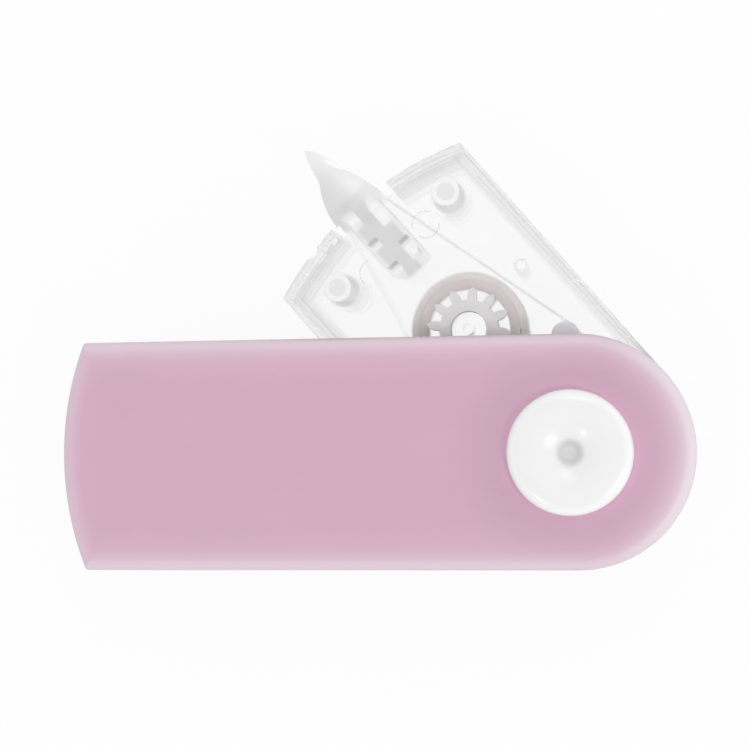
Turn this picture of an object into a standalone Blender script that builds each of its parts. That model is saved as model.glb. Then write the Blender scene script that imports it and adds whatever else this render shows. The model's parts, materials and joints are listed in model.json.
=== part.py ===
"""Pocket correction tape in a swivel cover, lying on its back with the cartridge swung out.

Metres, +Z up. The origin is the centre of the cover's flat back face, +X runs to the cover's
round end, and +Z is the pivot axis, towards the domed cap. Inside the cartridge's own frame the
origin is the pivot, +X runs to the applicator head, -Y is the side of the fresh tape and +Y the
side of the used film.
"""
import math

import bmesh
import bpy
from mathutils import Matrix, Vector

MM = 0.001

# Swivel cover: two plates joined by a wall at the end away from the pivot
COVER_LENGTH = 62.0 * MM
COVER_WIDTH = 22.6 * MM
COVER_PLATE = 1.4 * MM
COVER_END_WALL = 1.5 * MM
COVER_END_RADIUS = 30.3 * MM
COVER_EDGE_ROUND = 1.1 * MM
PIVOT_TO_ROUND_END = 11.9 * MM
OPEN_ANGLE = math.radians(49.0)
SWING_GAP = 0.3 * MM

# Pivot rivet: a domed cap with a dimple and a tubular stem, and a flush rear cap with a pin
STEM_RADIUS = 2.1 * MM
STEM_BORE = 1.2 * MM
STEM_BORE_DEPTH = 9.5 * MM
CAP_RADIUS = 6.0 * MM
CAP_RIM_HEIGHT = 0.35 * MM
CAP_RIM_ROUND = 1.3 * MM
CAP_RIM_RISE = 0.85 * MM
CAP_CROWN_RISE = 0.5 * MM
DIMPLE_RADIUS = 1.2 * MM
DIMPLE_DEPTH = 1.2 * MM
DIMPLE_LIP = 0.3 * MM
REAR_CAP_RADIUS = 4.0 * MM
REAR_CAP_THICKNESS = 0.75 * MM
REAR_PIN_LENGTH = 8.0 * MM

# Clear casing, in two halves with a stepped joint
CASING_PLATE = 1.1 * MM
CASING_WALL = 1.2 * MM
CASING_FRONT_RADIUS = 31.8 * MM
CASING_REAR_RADIUS = 11.4 * MM
CASING_REAR_SHIFT = 0.35 * MM
CASING_TAPE_SIDE = 12.1 * MM
CASING_FILM_SIDE = 10.95 * MM
CASING_EDGE_ROUND = 0.3 * MM
LIP_HEIGHT = 0.8 * MM
HUB_WALL = 0.9 * MM
TAPE_SIDE_BOSS = (26.8 * MM, -7.85 * MM)
FILM_SIDE_BOSS = (27.0 * MM, 6.25 * MM)
BOSS_PEG_RADIUS = 1.4 * MM
BOSS_PEG_BORE = 0.88 * MM
BOSS_SOCKET_WALL = 0.5 * MM
BOSS_SOCKET_HEIGHT = 4.8 * MM
BOSS_PEG_ENTRY = 3.0 * MM
SPACER_POST_AT = (16.6 * MM, -8.5 * MM)
SPACER_POST_RADIUS = 0.7 * MM
NOTCH_ANGLE = math.radians(10.5)
NOTCH_RADIUS = 0.9 * MM
NOTCH_DEPTH = 0.45 * MM

# Tape, film and reels
TAPE_WIDTH = 5.0 * MM
TAPE_THICKNESS = 0.12 * MM
TAPE_FLOOR_GAP = 0.8 * MM
SUPPLY_TAPE_RADIUS = 8.4 * MM
SPOOL_WALL = 0.95 * MM
SUPPLY_HUB_WALL = 0.95 * MM
WASHER_THICKNESS = 0.2 * MM
WASHER_BAND = 1.9 * MM
TAKE_UP_AT = (15.4 * MM, -0.6 * MM)
TAKE_UP_AXLE = 1.7 * MM
TAKE_UP_AXLE_BORE = 0.6 * MM
AXLE_PIN_ENTRY = 1.8 * MM
TAKE_UP_HUB_WALL = 0.65 * MM
TAKE_UP_CORE_BORE = 4.25 * MM
TAKE_UP_CORE_WALL = 0.75 * MM
TAKE_UP_FILM_BUILD = 0.65 * MM
SPOKE_WIDTH = 0.8 * MM
SPOKE_RING = 0.4 * MM
SPOKES = 4
GUIDE_AT = (8.75 * MM, -7.2 * MM)
GUIDE_RADIUS = 1.1 * MM
GUIDE_FLANGE = 0.25 * MM
GUIDE_POST_RADIUS = 0.5 * MM

# Gear train: supply gear, idler and take-up gear, all of one module
GEAR_MODULE = 0.6 * MM
SUPPLY_TEETH = 24
IDLER_TEETH = 10
TAKE_UP_TEETH = 12
PRESSURE_ANGLE = math.radians(25.0)
GEAR_ADDENDUM = 0.9
GEAR_DEDENDUM = 1.15
GEAR_BACKLASH = 0.12 * MM
GEAR_THICKNESS = 1.0 * MM
GEAR_PLATE_GAP = 0.25 * MM
TAKE_UP_PHASE = math.radians(12.5)
IDLER_AXLE = 0.5 * MM
IDLER_POST = 0.75 * MM

# Applicator head: a beak with side cheeks and a windowed stem that runs in through the casing's mouth
BEAK_LENGTH = 8.0 * MM
BEAK_TAPE_SIDE = 3.15 * MM
BEAK_FILM_SIDE = 2.45 * MM
BEAK_TIP_SHIFT = 0.25 * MM
BEAK_CHEEK = 0.9 * MM
BLADE_PROUD = 0.05 * MM
TIP_RADIUS = 0.2 * MM
TIP_SETBACK = 0.35 * MM
MOUTH_DEPTH = 1.6 * MM
MOUTH_TAPE_SIDE = 4.15 * MM
MOUTH_FILM_SIDE = 2.8 * MM
STEM_ROLL_GAP = 1.95 * MM
STEM_TAPE_SIDE = 2.6 * MM
STEM_FILM_SIDE = 1.3 * MM
STEM_CHAMFER = 0.45 * MM
STEM_WEB_TAPE_SIDE = 1.1 * MM
STEM_WEB_FILM_SIDE = 0.15 * MM
STEM_RAIL = 0.25 * MM

# Edges of the beak as (share of its length, share of its width on that side); the tip and the
# stem's web lie towards the tape side, and the windows are shares of the stem's length
TAPE_EDGE = ((0.0, 0.93), (0.21, 0.8), (0.42, 0.63), (0.67, 0.46), (0.82, 0.33), (0.93, 0.18), (1.0, 0.0))
FILM_EDGE = ((0.0, 0.72), (0.28, 0.55), (0.56, 0.37), (0.77, 0.26), (0.94, 0.1), (1.0, 0.0))
CHEEK_TAPE_EDGE = ((0.0, 1.0), (0.21, 0.87), (0.42, 0.66), (0.56, 0.42), (0.74, 0.31))
CHEEK_FILM_EDGE = ((0.0, 1.0), (0.21, 0.89), (0.42, 0.65), (0.57, 0.39), (0.74, 0.26))
STEM_TAPE_WINDOWS = ((0.114, 0.352), (0.614, 0.898))
STEM_FILM_WINDOWS = ((0.114, 0.21), (0.472, 0.557), (0.795, 0.955))

# Clearances
RUN_CLEARANCE = 0.05 * MM
SEAT_GAP = 0.1 * MM
PATH_GAP = 0.12 * MM
FUSE_DEPTH = 0.05 * MM

# Facets of round pieces, and what counts as an edge to round
ROUND_STEPS = 48
SMALL_STEPS = 24
FLANK_STEPS = 4
CURVE_STEPS = 4
CROWN_STEPS = 4
RIM_STEPS = 5
BEVEL_STEPS = 3
EDGE_ANGLE = math.radians(80.0)
FLAT_ANGLE = math.radians(0.3)
WELD_DISTANCE = 0.001 * MM

# Heights worked out from the stack of plates, tape and gears
Z_CASING_REAR = COVER_PLATE + SWING_GAP
Z_FLOOR = Z_CASING_REAR + CASING_PLATE
Z_TAPE_LOW = Z_FLOOR + TAPE_FLOOR_GAP
Z_TAPE_HIGH = Z_TAPE_LOW + TAPE_WIDTH
Z_WASHER = Z_TAPE_HIGH + SEAT_GAP
Z_GEAR_LOW = Z_WASHER + WASHER_THICKNESS + SEAT_GAP
Z_GEAR_HIGH = Z_GEAR_LOW + GEAR_THICKNESS
Z_CEILING = Z_GEAR_HIGH + GEAR_PLATE_GAP
Z_CASING_FRONT = Z_CEILING + CASING_PLATE
Z_SLOT_TOP = Z_CASING_FRONT + SWING_GAP
Z_COVER_FRONT = Z_SLOT_TOP + COVER_PLATE
Z_SPLIT = (Z_FLOOR + Z_CEILING) / 2

# Places and radii worked out from the driving sizes
PIVOT_X = COVER_LENGTH / 2 - PIVOT_TO_ROUND_END
HUB_RADIUS = STEM_RADIUS + RUN_CLEARANCE + HUB_WALL
SUPPLY_HUB_RADIUS = HUB_RADIUS + RUN_CLEARANCE + SUPPLY_HUB_WALL
SUPPLY_CORE_RADIUS = SUPPLY_HUB_RADIUS + RUN_CLEARANCE + SPOOL_WALL
TAKE_UP_HUB_RADIUS = TAKE_UP_AXLE + RUN_CLEARANCE + TAKE_UP_HUB_WALL
TAKE_UP_CORE_RADIUS = TAKE_UP_CORE_BORE + TAKE_UP_CORE_WALL
TAKE_UP_FILM_RADIUS = TAKE_UP_CORE_RADIUS + SEAT_GAP + TAKE_UP_FILM_BUILD
BEAK_BASE_X = CASING_FRONT_RADIUS + SEAT_GAP
STEM_TAIL_X = TAKE_UP_AT[0] + TAKE_UP_FILM_RADIUS + STEM_ROLL_GAP


def clear_scene():
    for item in list(bpy.data.objects):
        bpy.data.objects.remove(item, do_unlink=True)


def make_collection(name):
    group = bpy.data.collections.new(name)
    bpy.context.scene.collection.children.link(group)
    return group


def make_frame(name, group, place, turn):
    """An empty that carries pieces modelled about a joint's axis."""
    empty = bpy.data.objects.new(name, None)
    empty.location = place
    empty.rotation_euler.z = turn
    group.objects.link(empty)
    return empty


def make_material(name, colour, roughness, alpha=1.0):
    surface = bpy.data.materials.new(name)
    surface.use_nodes = True
    shader = surface.node_tree.nodes["Principled BSDF"]
    shader.inputs["Base Color"].default_value = (*colour, 1.0)
    shader.inputs["Roughness"].default_value = roughness
    shader.inputs["Metallic"].default_value = 0.0
    shader.inputs["Alpha"].default_value = alpha
    return surface


# Outlines: lists of (x, y) points in the plane of the plates

def arc(centre, radius, start, end, steps):
    turn = (end - start) / steps
    angles = [start + turn * step for step in range(steps + 1)]
    return [(centre[0] + radius * math.cos(a), centre[1] + radius * math.sin(a)) for a in angles]


def circle(centre, radius, steps=ROUND_STEPS):
    return arc(centre, radius, 0.0, 2 * math.pi, steps)[:-1]


def rectangle(low_x, high_x, low_y, high_y):
    return [(low_x, low_y), (high_x, low_y), (high_x, high_y), (low_x, high_y)]


def smooth_path(points):
    """Points along a smooth curve that passes through the given ones."""
    ends = [points[0], *points, points[-1]]
    path = []
    for before, here, there, after in zip(ends, ends[1:], ends[2:], ends[3:]):
        p0, p1, p2, p3 = (Vector(p) for p in (before, here, there, after))
        for step in range(CURVE_STEPS):
            t = step / CURVE_STEPS
            point = p1 * 2 + (p2 - p0) * t
            point += (p0 * 2 - p1 * 5 + p2 * 4 - p3) * t * t
            point += (p1 * 3 - p0 - p2 * 3 + p3) * t * t * t
            path.append(tuple(point / 2))
    path.append(tuple(points[-1]))
    return path


def offset_path(path, distance):
    """A path moved sideways, to its left for a positive distance."""
    moved = []
    for index, here in enumerate(path):
        before = Vector(path[max(index - 1, 0)])
        after = Vector(path[min(index + 1, len(path) - 1)])
        along = (after - before).normalized()
        moved.append(tuple(Vector(here) + Vector((-along.y, along.x)) * distance))
    return moved


def ribbon(path, thickness):
    """The outline of a strip of the given thickness centred on a path."""
    return offset_path(path, thickness / 2) + offset_path(path, -thickness / 2)[::-1]


def cover_outline():
    half = COVER_WIDTH / 2
    round_centre = (COVER_LENGTH / 2 - half, 0.0)
    end_centre = (COVER_END_RADIUS - COVER_LENGTH / 2, 0.0)
    sweep = math.asin(half / COVER_END_RADIUS)
    right = arc(round_centre, half, -math.pi / 2, math.pi / 2, ROUND_STEPS // 2)
    left = arc(end_centre, COVER_END_RADIUS, math.pi - sweep, math.pi + sweep, ROUND_STEPS // 4)
    return right + left


def slot_outline():
    """The swing slot: it leaves the end wall and runs out past both sides and the round end."""
    reach = COVER_LENGTH
    end_centre = (COVER_END_RADIUS - COVER_LENGTH / 2, 0.0)
    radius = COVER_END_RADIUS - COVER_END_WALL
    sweep = math.asin(COVER_WIDTH / 2 / COVER_END_RADIUS)
    wall = arc(end_centre, radius, math.pi - sweep, math.pi + sweep, ROUND_STEPS // 4)
    return wall + [(wall[-1][0], -reach), (reach, -reach), (reach, reach), (wall[0][0], reach)]


def casing_outline(inset):
    """The cartridge's outline: a round rear, two sides and a front arc about the pivot."""
    front = CASING_FRONT_RADIUS - inset
    rear = CASING_REAR_RADIUS - inset
    low = math.asin((CASING_TAPE_SIDE - inset) / front)
    high = math.asin((CASING_FILM_SIDE - inset) / front)
    nose = arc((0.0, 0.0), front, -low, high, ROUND_STEPS // 3)
    tail = arc((0.0, -CASING_REAR_SHIFT), rear, math.pi / 2, 1.5 * math.pi, ROUND_STEPS // 2)
    return nose + tail


def gear_outline(centre, teeth, phase):
    """Involute teeth with a little backlash, the first one centred on the phase angle."""
    pitch = GEAR_MODULE * teeth / 2
    base = pitch * math.cos(PRESSURE_ANGLE)
    tip = pitch + GEAR_MODULE * GEAR_ADDENDUM
    root = pitch - GEAR_MODULE * GEAR_DEDENDUM
    involute = math.tan(PRESSURE_ANGLE) - PRESSURE_ANGLE
    half_tooth = (math.pi * GEAR_MODULE / 2 - GEAR_BACKLASH) / 2 / pitch
    start = max(base, root)
    flank = []
    for step in range(FLANK_STEPS + 1):
        radius = start + (tip - start) * step / FLANK_STEPS
        slope = math.acos(min(1.0, base / radius))
        flank.append((radius, half_tooth + involute - (math.tan(slope) - slope)))
    if root < base:
        flank.insert(0, (root, flank[0][1]))
    points = []
    for tooth in range(teeth):
        middle = phase + 2 * math.pi * tooth / teeth
        polar = [(r, middle - a) for r, a in flank] + [(r, middle + a) for r, a in reversed(flank)]
        points += [(centre[0] + r * math.cos(a), centre[1] + r * math.sin(a)) for r, a in polar]
    return points


def meshed_phase(driver_at, driver_teeth, driver_phase, at, teeth):
    """The phase that sets a gear's gap on the tooth of the gear that it meets."""
    heading = math.atan2(at[1] - driver_at[1], at[0] - driver_at[0])
    driver_pitch = 2 * math.pi / driver_teeth
    share = ((heading - driver_phase) / driver_pitch) % 1.0
    return heading + math.pi - (0.5 - share) * 2 * math.pi / teeth


def idler_place():
    """The idler meets both gears and lies on the film side of the line between them."""
    supply_reach = GEAR_MODULE * (SUPPLY_TEETH + IDLER_TEETH) / 2
    take_up_reach = GEAR_MODULE * (TAKE_UP_TEETH + IDLER_TEETH) / 2
    line = Vector(TAKE_UP_AT)
    span = line.length
    along = (supply_reach ** 2 - take_up_reach ** 2 + span ** 2) / (2 * span)
    across = math.sqrt(supply_reach ** 2 - along ** 2)
    direction = line / span
    return tuple(direction * along + Vector((-direction.y, direction.x)) * across)


IDLER_AT = idler_place()
IDLER_PHASE = meshed_phase(TAKE_UP_AT, TAKE_UP_TEETH, TAKE_UP_PHASE, IDLER_AT, IDLER_TEETH)
SUPPLY_PHASE = meshed_phase(IDLER_AT, IDLER_TEETH, IDLER_PHASE, (0.0, 0.0), SUPPLY_TEETH)


# Solids

def weld(mesh):
    """Joins the shells of a filled curve and merges its flat ends into whole faces."""
    shape = bmesh.new()
    shape.from_mesh(mesh)
    bmesh.ops.remove_doubles(shape, verts=shape.verts, dist=WELD_DISTANCE)
    bmesh.ops.dissolve_limit(shape, angle_limit=FLAT_ANGLE, verts=shape.verts, edges=shape.edges)
    bmesh.ops.recalc_face_normals(shape, faces=shape.faces)
    shape.to_mesh(mesh)
    shape.free()


def prism(name, loops, low, high):
    """A flat outline with its holes, filled and extruded from one height to another."""
    curve = bpy.data.curves.new(name, "CURVE")
    curve.dimensions = "2D"
    curve.fill_mode = "BOTH"
    curve.extrude = (high - low) / 2 / MM
    for loop in loops:
        spline = curve.splines.new("POLY")
        spline.points.add(len(loop) - 1)
        for point, (x, y) in zip(spline.points, loop):
            point.co = (x / MM, y / MM, 0.0, 1.0)
        spline.use_cyclic_u = True
    outline = bpy.data.objects.new(name + "_outline", curve)
    bpy.context.scene.collection.objects.link(outline)
    graph = bpy.context.evaluated_depsgraph_get()
    mesh = bpy.data.meshes.new_from_object(outline.evaluated_get(graph))
    bpy.data.objects.remove(outline)
    mesh.transform(Matrix.Scale(MM, 4))
    weld(mesh)
    solid = bpy.data.objects.new(name, mesh)
    solid.location.z = (low + high) / 2
    return solid


def turned(name, profile, centre=(0.0, 0.0), steps=ROUND_STEPS):
    """A profile of (radius, height) points, turned about a vertical axis and closed off it."""
    mesh = bpy.data.meshes.new(name)
    edges = [(index, index + 1) for index in range(len(profile) - 1)]
    if profile[0][0] > 0.0:
        edges.append((len(profile) - 1, 0))
    mesh.from_pydata([(radius, 0.0, height) for radius, height in profile], edges, [])
    solid = bpy.data.objects.new(name, mesh)
    solid.location = (centre[0], centre[1], 0.0)
    screw = solid.modifiers.new("turn", "SCREW")
    screw.steps = steps
    screw.render_steps = steps
    screw.use_merge_vertices = True
    screw.merge_threshold = WELD_DISTANCE
    return solid


def tube(name, bore, radius, low, high, centre=(0.0, 0.0), steps=ROUND_STEPS):
    profile = [(radius, high), (radius, low), (bore, low), (bore, high)]
    return turned(name, profile, centre, steps)


def rod(name, radius, low, high, centre=(0.0, 0.0), steps=SMALL_STEPS):
    return prism(name, [circle(centre, radius, steps)], low, high)


def drill(name, radius, low, high, centre=(0.0, 0.0), steps=SMALL_STEPS):
    """A round cutter whose corners lie between those of a rod with as many sides."""
    half_step = math.pi / steps
    loop = arc(centre, radius, half_step, 2 * math.pi + half_step, steps)[:-1]
    return prism(name, [loop], low, high)


def block(name, low_x, high_x, low_y, high_y, low, high):
    return prism(name, [rectangle(low_x, high_x, low_y, high_y)], low, high)


def round_edges(solid, width):
    """Rounds the edges where the faces meet the sides, not the corners of the outline."""
    bevel = solid.modifiers.new("rounding", "BEVEL")
    bevel.width = width
    bevel.segments = BEVEL_STEPS
    bevel.limit_method = "ANGLE"
    bevel.angle_limit = EDGE_ANGLE


class Builder:
    """Places finished pieces in the assembly and shaping solids among the guides."""

    def __init__(self, parts, guides):
        self.parts = parts
        self.guides = guides

    def combine(self, solid, tools, operation, carrier):
        for tool in tools:
            tool.parent = carrier
            tool.hide_render = True
            tool.display_type = "WIRE"
            self.guides.objects.link(tool)
            step = solid.modifiers.new(tool.name, "BOOLEAN")
            step.operation = operation
            step.solver = "EXACT"
            step.object = tool

    def finish(self, solid, surface, carrier):
        solid.parent = carrier
        solid.data.materials.clear()
        solid.data.materials.append(surface)
        self.parts.objects.link(solid)
        return solid

    def fuse(self, solid, tools, carrier):
        self.combine(solid, tools, "UNION", carrier)

    def cut(self, solid, tools, carrier):
        self.combine(solid, tools, "DIFFERENCE", carrier)


# The cover and its pivot rivet

def build_cover(builder, carrier):
    shell = prism("cover_shell", [cover_outline()], 0.0, Z_COVER_FRONT)
    round_edges(shell, COVER_EDGE_ROUND)
    pivot = (PIVOT_X, 0.0)
    hole = STEM_RADIUS + SEAT_GAP
    recess = REAR_CAP_RADIUS + SEAT_GAP
    depth = REAR_CAP_THICKNESS + 2 * SEAT_GAP
    slot = prism("cover_slot", [slot_outline()], COVER_PLATE, Z_SLOT_TOP)
    stem_hole = drill("cover_stem_hole", hole, -COVER_PLATE, Z_COVER_FRONT + COVER_PLATE, pivot)
    cap_recess = drill("cover_cap_recess", recess, -COVER_PLATE, depth, pivot, ROUND_STEPS)
    builder.cut(shell, [slot, stem_hole, cap_recess], carrier)
    surface = make_material("cover_pink", (0.66, 0.41, 0.53), 0.35, 0.85)
    builder.finish(shell, surface, carrier)


def cap_profile():
    """The domed cap from the floor of its dimple, over the rim, down its stem and up the bore."""
    seat = Z_COVER_FRONT + SEAT_GAP
    rim_top = seat + CAP_RIM_HEIGHT
    shoulder = rim_top + CAP_RIM_RISE
    crown_edge = CAP_RADIUS - CAP_RIM_ROUND
    lip = DIMPLE_RADIUS + DIMPLE_LIP
    crown = []
    for step in range(CROWN_STEPS):
        share = step / CROWN_STEPS
        radius = lip + (crown_edge - lip) * share
        crown.append((radius, shoulder + CAP_CROWN_RISE * (1 - share * share)))
    rim = []
    for step in range(RIM_STEPS + 1):
        turn = math.pi / 2 * step / RIM_STEPS
        radius = crown_edge + CAP_RIM_ROUND * math.sin(turn)
        rim.append((radius, rim_top + CAP_RIM_RISE * math.cos(turn)))
    top = crown[0][1]
    floor = top - DIMPLE_DEPTH
    dimple = [(0.0, floor), (DIMPLE_RADIUS, floor), (DIMPLE_RADIUS, top - DIMPLE_LIP)]
    stem_end = REAR_CAP_THICKNESS + 3 * SEAT_GAP
    bore_end = stem_end + STEM_BORE_DEPTH
    stem = [(CAP_RADIUS, seat), (STEM_RADIUS, seat), (STEM_RADIUS, stem_end)]
    bore = [(STEM_BORE, stem_end), (STEM_BORE, bore_end), (0.0, bore_end)]
    return dimple + crown + rim + stem + bore


def build_pivot_caps(builder, carrier):
    front = turned("pivot_cap_front", cap_profile())
    builder.finish(front, make_material("cap_white", (0.86, 0.86, 0.87), 0.25), carrier)
    top = SEAT_GAP + REAR_CAP_THICKNESS
    pin = STEM_BORE - SEAT_GAP
    profile = [(0.0, top + REAR_PIN_LENGTH), (pin, top + REAR_PIN_LENGTH), (pin, top)]
    profile += [(REAR_CAP_RADIUS, top), (REAR_CAP_RADIUS, SEAT_GAP), (0.0, SEAT_GAP)]
    rear = turned("pivot_cap_rear", profile)
    builder.finish(rear, make_material("rear_cap_white", (0.86, 0.86, 0.87), 0.3), carrier)


# The clear casing

def mouth_cutter(name):
    """The head's mouth, cut through the front wall and both plates."""
    reach = CASING_FRONT_RADIUS + CASING_WALL
    inner = CASING_FRONT_RADIUS - MOUTH_DEPTH
    bottom = Z_CASING_REAR - CASING_PLATE
    top = Z_CASING_FRONT + CASING_PLATE
    return block(name, inner, reach, -MOUTH_TAPE_SIDE, MOUTH_FILM_SIDE, bottom, top)


def notch_cutter(name):
    """The thumbnail notch in the front wall, on the film side of the head."""
    reach = CASING_FRONT_RADIUS - NOTCH_DEPTH + NOTCH_RADIUS
    centre = (reach * math.cos(NOTCH_ANGLE), reach * math.sin(NOTCH_ANGLE))
    return drill(name, NOTCH_RADIUS, Z_CASING_REAR - CASING_PLATE, Z_CASING_FRONT + CASING_PLATE, centre)


def stem_windows():
    """The rows of windows along the stem, on the tape side and on the film side of its web."""
    length = BEAK_BASE_X - STEM_TAIL_X
    sides = (
        (STEM_RAIL - STEM_TAPE_SIDE, -STEM_WEB_TAPE_SIDE, STEM_TAPE_WINDOWS),
        (-STEM_WEB_FILM_SIDE, STEM_FILM_SIDE - STEM_RAIL, STEM_FILM_WINDOWS),
    )
    rows = []
    for near, far, shares in sides:
        spans = [(STEM_TAIL_X + length * first, STEM_TAIL_X + length * last) for first, last in shares]
        rows.append([(first, last, near, far) for first, last in spans])
    return rows


def stem_pegs():
    """Pegs in the first window on each side of the head's stem, which hold the head in the casing."""
    pegs = []
    for row in stem_windows():
        first, last, near, far = row[0]
        radius = min(last - first, far - near) / 2 - SEAT_GAP
        pegs.append((((first + last) / 2, (near + far) / 2), radius))
    return pegs


def build_casing_rear(builder, carrier):
    sunk = Z_FLOOR - CASING_PLATE / 2
    above = Z_SPLIT + 2 * CASING_WALL
    shell = prism("casing_rear", [casing_outline(0.0)], Z_CASING_REAR, Z_SPLIT + CASING_WALL)
    round_edges(shell, CASING_EDGE_ROUND)
    trim = prism("rear_trim", [casing_outline(-CASING_WALL)], Z_SPLIT, above)
    builder.cut(shell, [trim], carrier)
    tongue = casing_outline((CASING_WALL + SEAT_GAP) / 2)
    builder.fuse(shell, [prism("rear_tongue", [tongue], sunk, Z_SPLIT + LIP_HEIGHT)], carrier)
    inside = prism("rear_inside", [casing_outline(CASING_WALL)], Z_FLOOR, above)
    builder.cut(shell, [inside, mouth_cutter("rear_mouth"), notch_cutter("rear_notch")], carrier)
    socket = BOSS_PEG_RADIUS + SEAT_GAP + BOSS_SOCKET_WALL
    socket_top = Z_FLOOR + BOSS_SOCKET_HEIGHT
    post_top = Z_GEAR_LOW - SEAT_GAP
    posts = [
        rod("rear_hub", HUB_RADIUS, sunk, Z_CASING_FRONT, steps=ROUND_STEPS),
        rod("rear_tape_socket", socket, sunk, socket_top, TAPE_SIDE_BOSS),
        rod("rear_film_socket", socket, sunk, socket_top, FILM_SIDE_BOSS),
        rod("rear_take_up_axle", TAKE_UP_AXLE, sunk, Z_GEAR_HIGH, TAKE_UP_AT),
        rod("rear_idler_post", IDLER_POST, sunk, post_top, IDLER_AT),
        rod("rear_idler_axle", IDLER_AXLE, post_top - GEAR_THICKNESS, Z_GEAR_HIGH + SEAT_GAP, IDLER_AT),
        rod("rear_guide_post", GUIDE_POST_RADIUS, sunk, Z_TAPE_HIGH + GUIDE_FLANGE, GUIDE_AT),
        rod("rear_spacer_post", SPACER_POST_RADIUS, sunk, Z_CEILING - SEAT_GAP, SPACER_POST_AT),
    ]
    for index, (place, radius) in enumerate(stem_pegs()):
        posts.append(rod("rear_stem_peg_%d" % index, radius, sunk, Z_TAPE_HIGH, place))
    builder.fuse(shell, posts, carrier)
    peg_hole = BOSS_PEG_RADIUS + SEAT_GAP
    hole_floor = Z_FLOOR + SEAT_GAP
    axle_floor = Z_GEAR_HIGH - AXLE_PIN_ENTRY - SEAT_GAP
    bores = [
        drill("rear_pivot_bore", STEM_RADIUS + RUN_CLEARANCE, 0.0, Z_COVER_FRONT, steps=ROUND_STEPS),
        drill("rear_tape_bore", peg_hole, hole_floor, above, TAPE_SIDE_BOSS),
        drill("rear_film_bore", peg_hole, hole_floor, above, FILM_SIDE_BOSS),
        drill("rear_axle_bore", TAKE_UP_AXLE_BORE, axle_floor, Z_CASING_FRONT, TAKE_UP_AT),
    ]
    builder.cut(shell, bores, carrier)
    surface = make_material("casing_rear_clear", (0.93, 0.93, 0.94), 0.1, 0.3)
    builder.finish(shell, surface, carrier)


def build_casing_front(builder, carrier):
    sunk = Z_CEILING + CASING_PLATE / 2
    below = Z_SPLIT - 2 * CASING_WALL
    edge = Z_SPLIT + SEAT_GAP
    shell = prism("casing_front", [casing_outline(0.0)], Z_SPLIT - CASING_WALL, Z_CASING_FRONT)
    round_edges(shell, CASING_EDGE_ROUND)
    trim = prism("front_trim", [casing_outline(-CASING_WALL)], below, edge)
    groove_outline = casing_outline((CASING_WALL - SEAT_GAP) / 2)
    groove = prism("front_groove", [groove_outline], below, edge + LIP_HEIGHT)
    inside = prism("front_inside", [casing_outline(CASING_WALL)], below, Z_CEILING)
    cutters = [trim, groove, inside, mouth_cutter("front_mouth"), notch_cutter("front_notch")]
    builder.cut(shell, cutters, carrier)
    peg_end = Z_FLOOR + BOSS_SOCKET_HEIGHT - BOSS_PEG_ENTRY
    pins = [
        rod("front_tape_peg", BOSS_PEG_RADIUS, peg_end, sunk, TAPE_SIDE_BOSS),
        rod("front_film_peg", BOSS_PEG_RADIUS, peg_end, sunk, FILM_SIDE_BOSS),
        rod("front_axle_pin", TAKE_UP_AXLE_BORE - SEAT_GAP, Z_GEAR_HIGH - AXLE_PIN_ENTRY, sunk, TAKE_UP_AT),
    ]
    builder.fuse(shell, pins, carrier)
    bore_end = peg_end + BOSS_PEG_BORE
    bores = [
        drill("front_pivot_hole", HUB_RADIUS + SEAT_GAP, below, Z_COVER_FRONT, steps=ROUND_STEPS),
        drill("front_tape_peg_bore", BOSS_PEG_BORE, bore_end, Z_COVER_FRONT, TAPE_SIDE_BOSS),
        drill("front_film_peg_bore", BOSS_PEG_BORE, bore_end, Z_COVER_FRONT, FILM_SIDE_BOSS),
    ]
    builder.cut(shell, bores, carrier)
    surface = make_material("casing_front_clear", (0.93, 0.93, 0.94), 0.1, 0.3)
    builder.finish(shell, surface, carrier)


# The applicator head

def beak_edge(shares, side):
    """Points of a beak edge from shares of its length and of its width on one side."""
    tip = -BEAK_TIP_SHIFT
    width = side - tip
    return [(BEAK_BASE_X + BEAK_LENGTH * along, tip + width * across) for along, across in shares]


def tape_edge():
    return beak_edge(TAPE_EDGE, -BEAK_TAPE_SIDE)


def film_edge():
    return beak_edge(FILM_EDGE, BEAK_FILM_SIDE)


def blade_outline():
    """The blade under the tape: both edges set in by the tape and its gap, with a blunt tip."""
    inset = TAPE_THICKNESS / 2 + PATH_GAP
    upper = offset_path(smooth_path(tape_edge()), inset)
    lower = offset_path(smooth_path(film_edge()), -inset)
    limit = BEAK_BASE_X + BEAK_LENGTH - TIP_SETBACK
    upper = [point for point in upper if point[0] < limit - TIP_RADIUS]
    lower = [point for point in lower if point[0] < limit - TIP_RADIUS]
    return upper + [(limit, -BEAK_TIP_SHIFT)] + lower[::-1]


def cheek_outline():
    """A guide cheek, which covers the beak's side up to the casing's mouth."""
    upper = smooth_path(beak_edge(CHEEK_TAPE_EDGE, -BEAK_TAPE_SIDE))
    lower = smooth_path(beak_edge(CHEEK_FILM_EDGE, BEAK_FILM_SIDE))
    return upper + lower[::-1]


def stem_outline():
    tail = STEM_TAIL_X
    root = BEAK_BASE_X + BEAK_CHEEK
    cut = STEM_CHAMFER
    low = -STEM_TAPE_SIDE
    high = STEM_FILM_SIDE
    rear = [(tail, high - cut), (tail, low + cut), (tail + cut, low)]
    return rear + [(root, low), (root, high), (tail + cut, high)]


def window_cutters(low, high):
    cutters = []
    for row in stem_windows():
        for first, last, near, far in row:
            name = "head_window_%d" % len(cutters)
            cutters.append(block(name, first, last, near, far, low - BEAK_CHEEK, high + BEAK_CHEEK))
    return cutters


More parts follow.
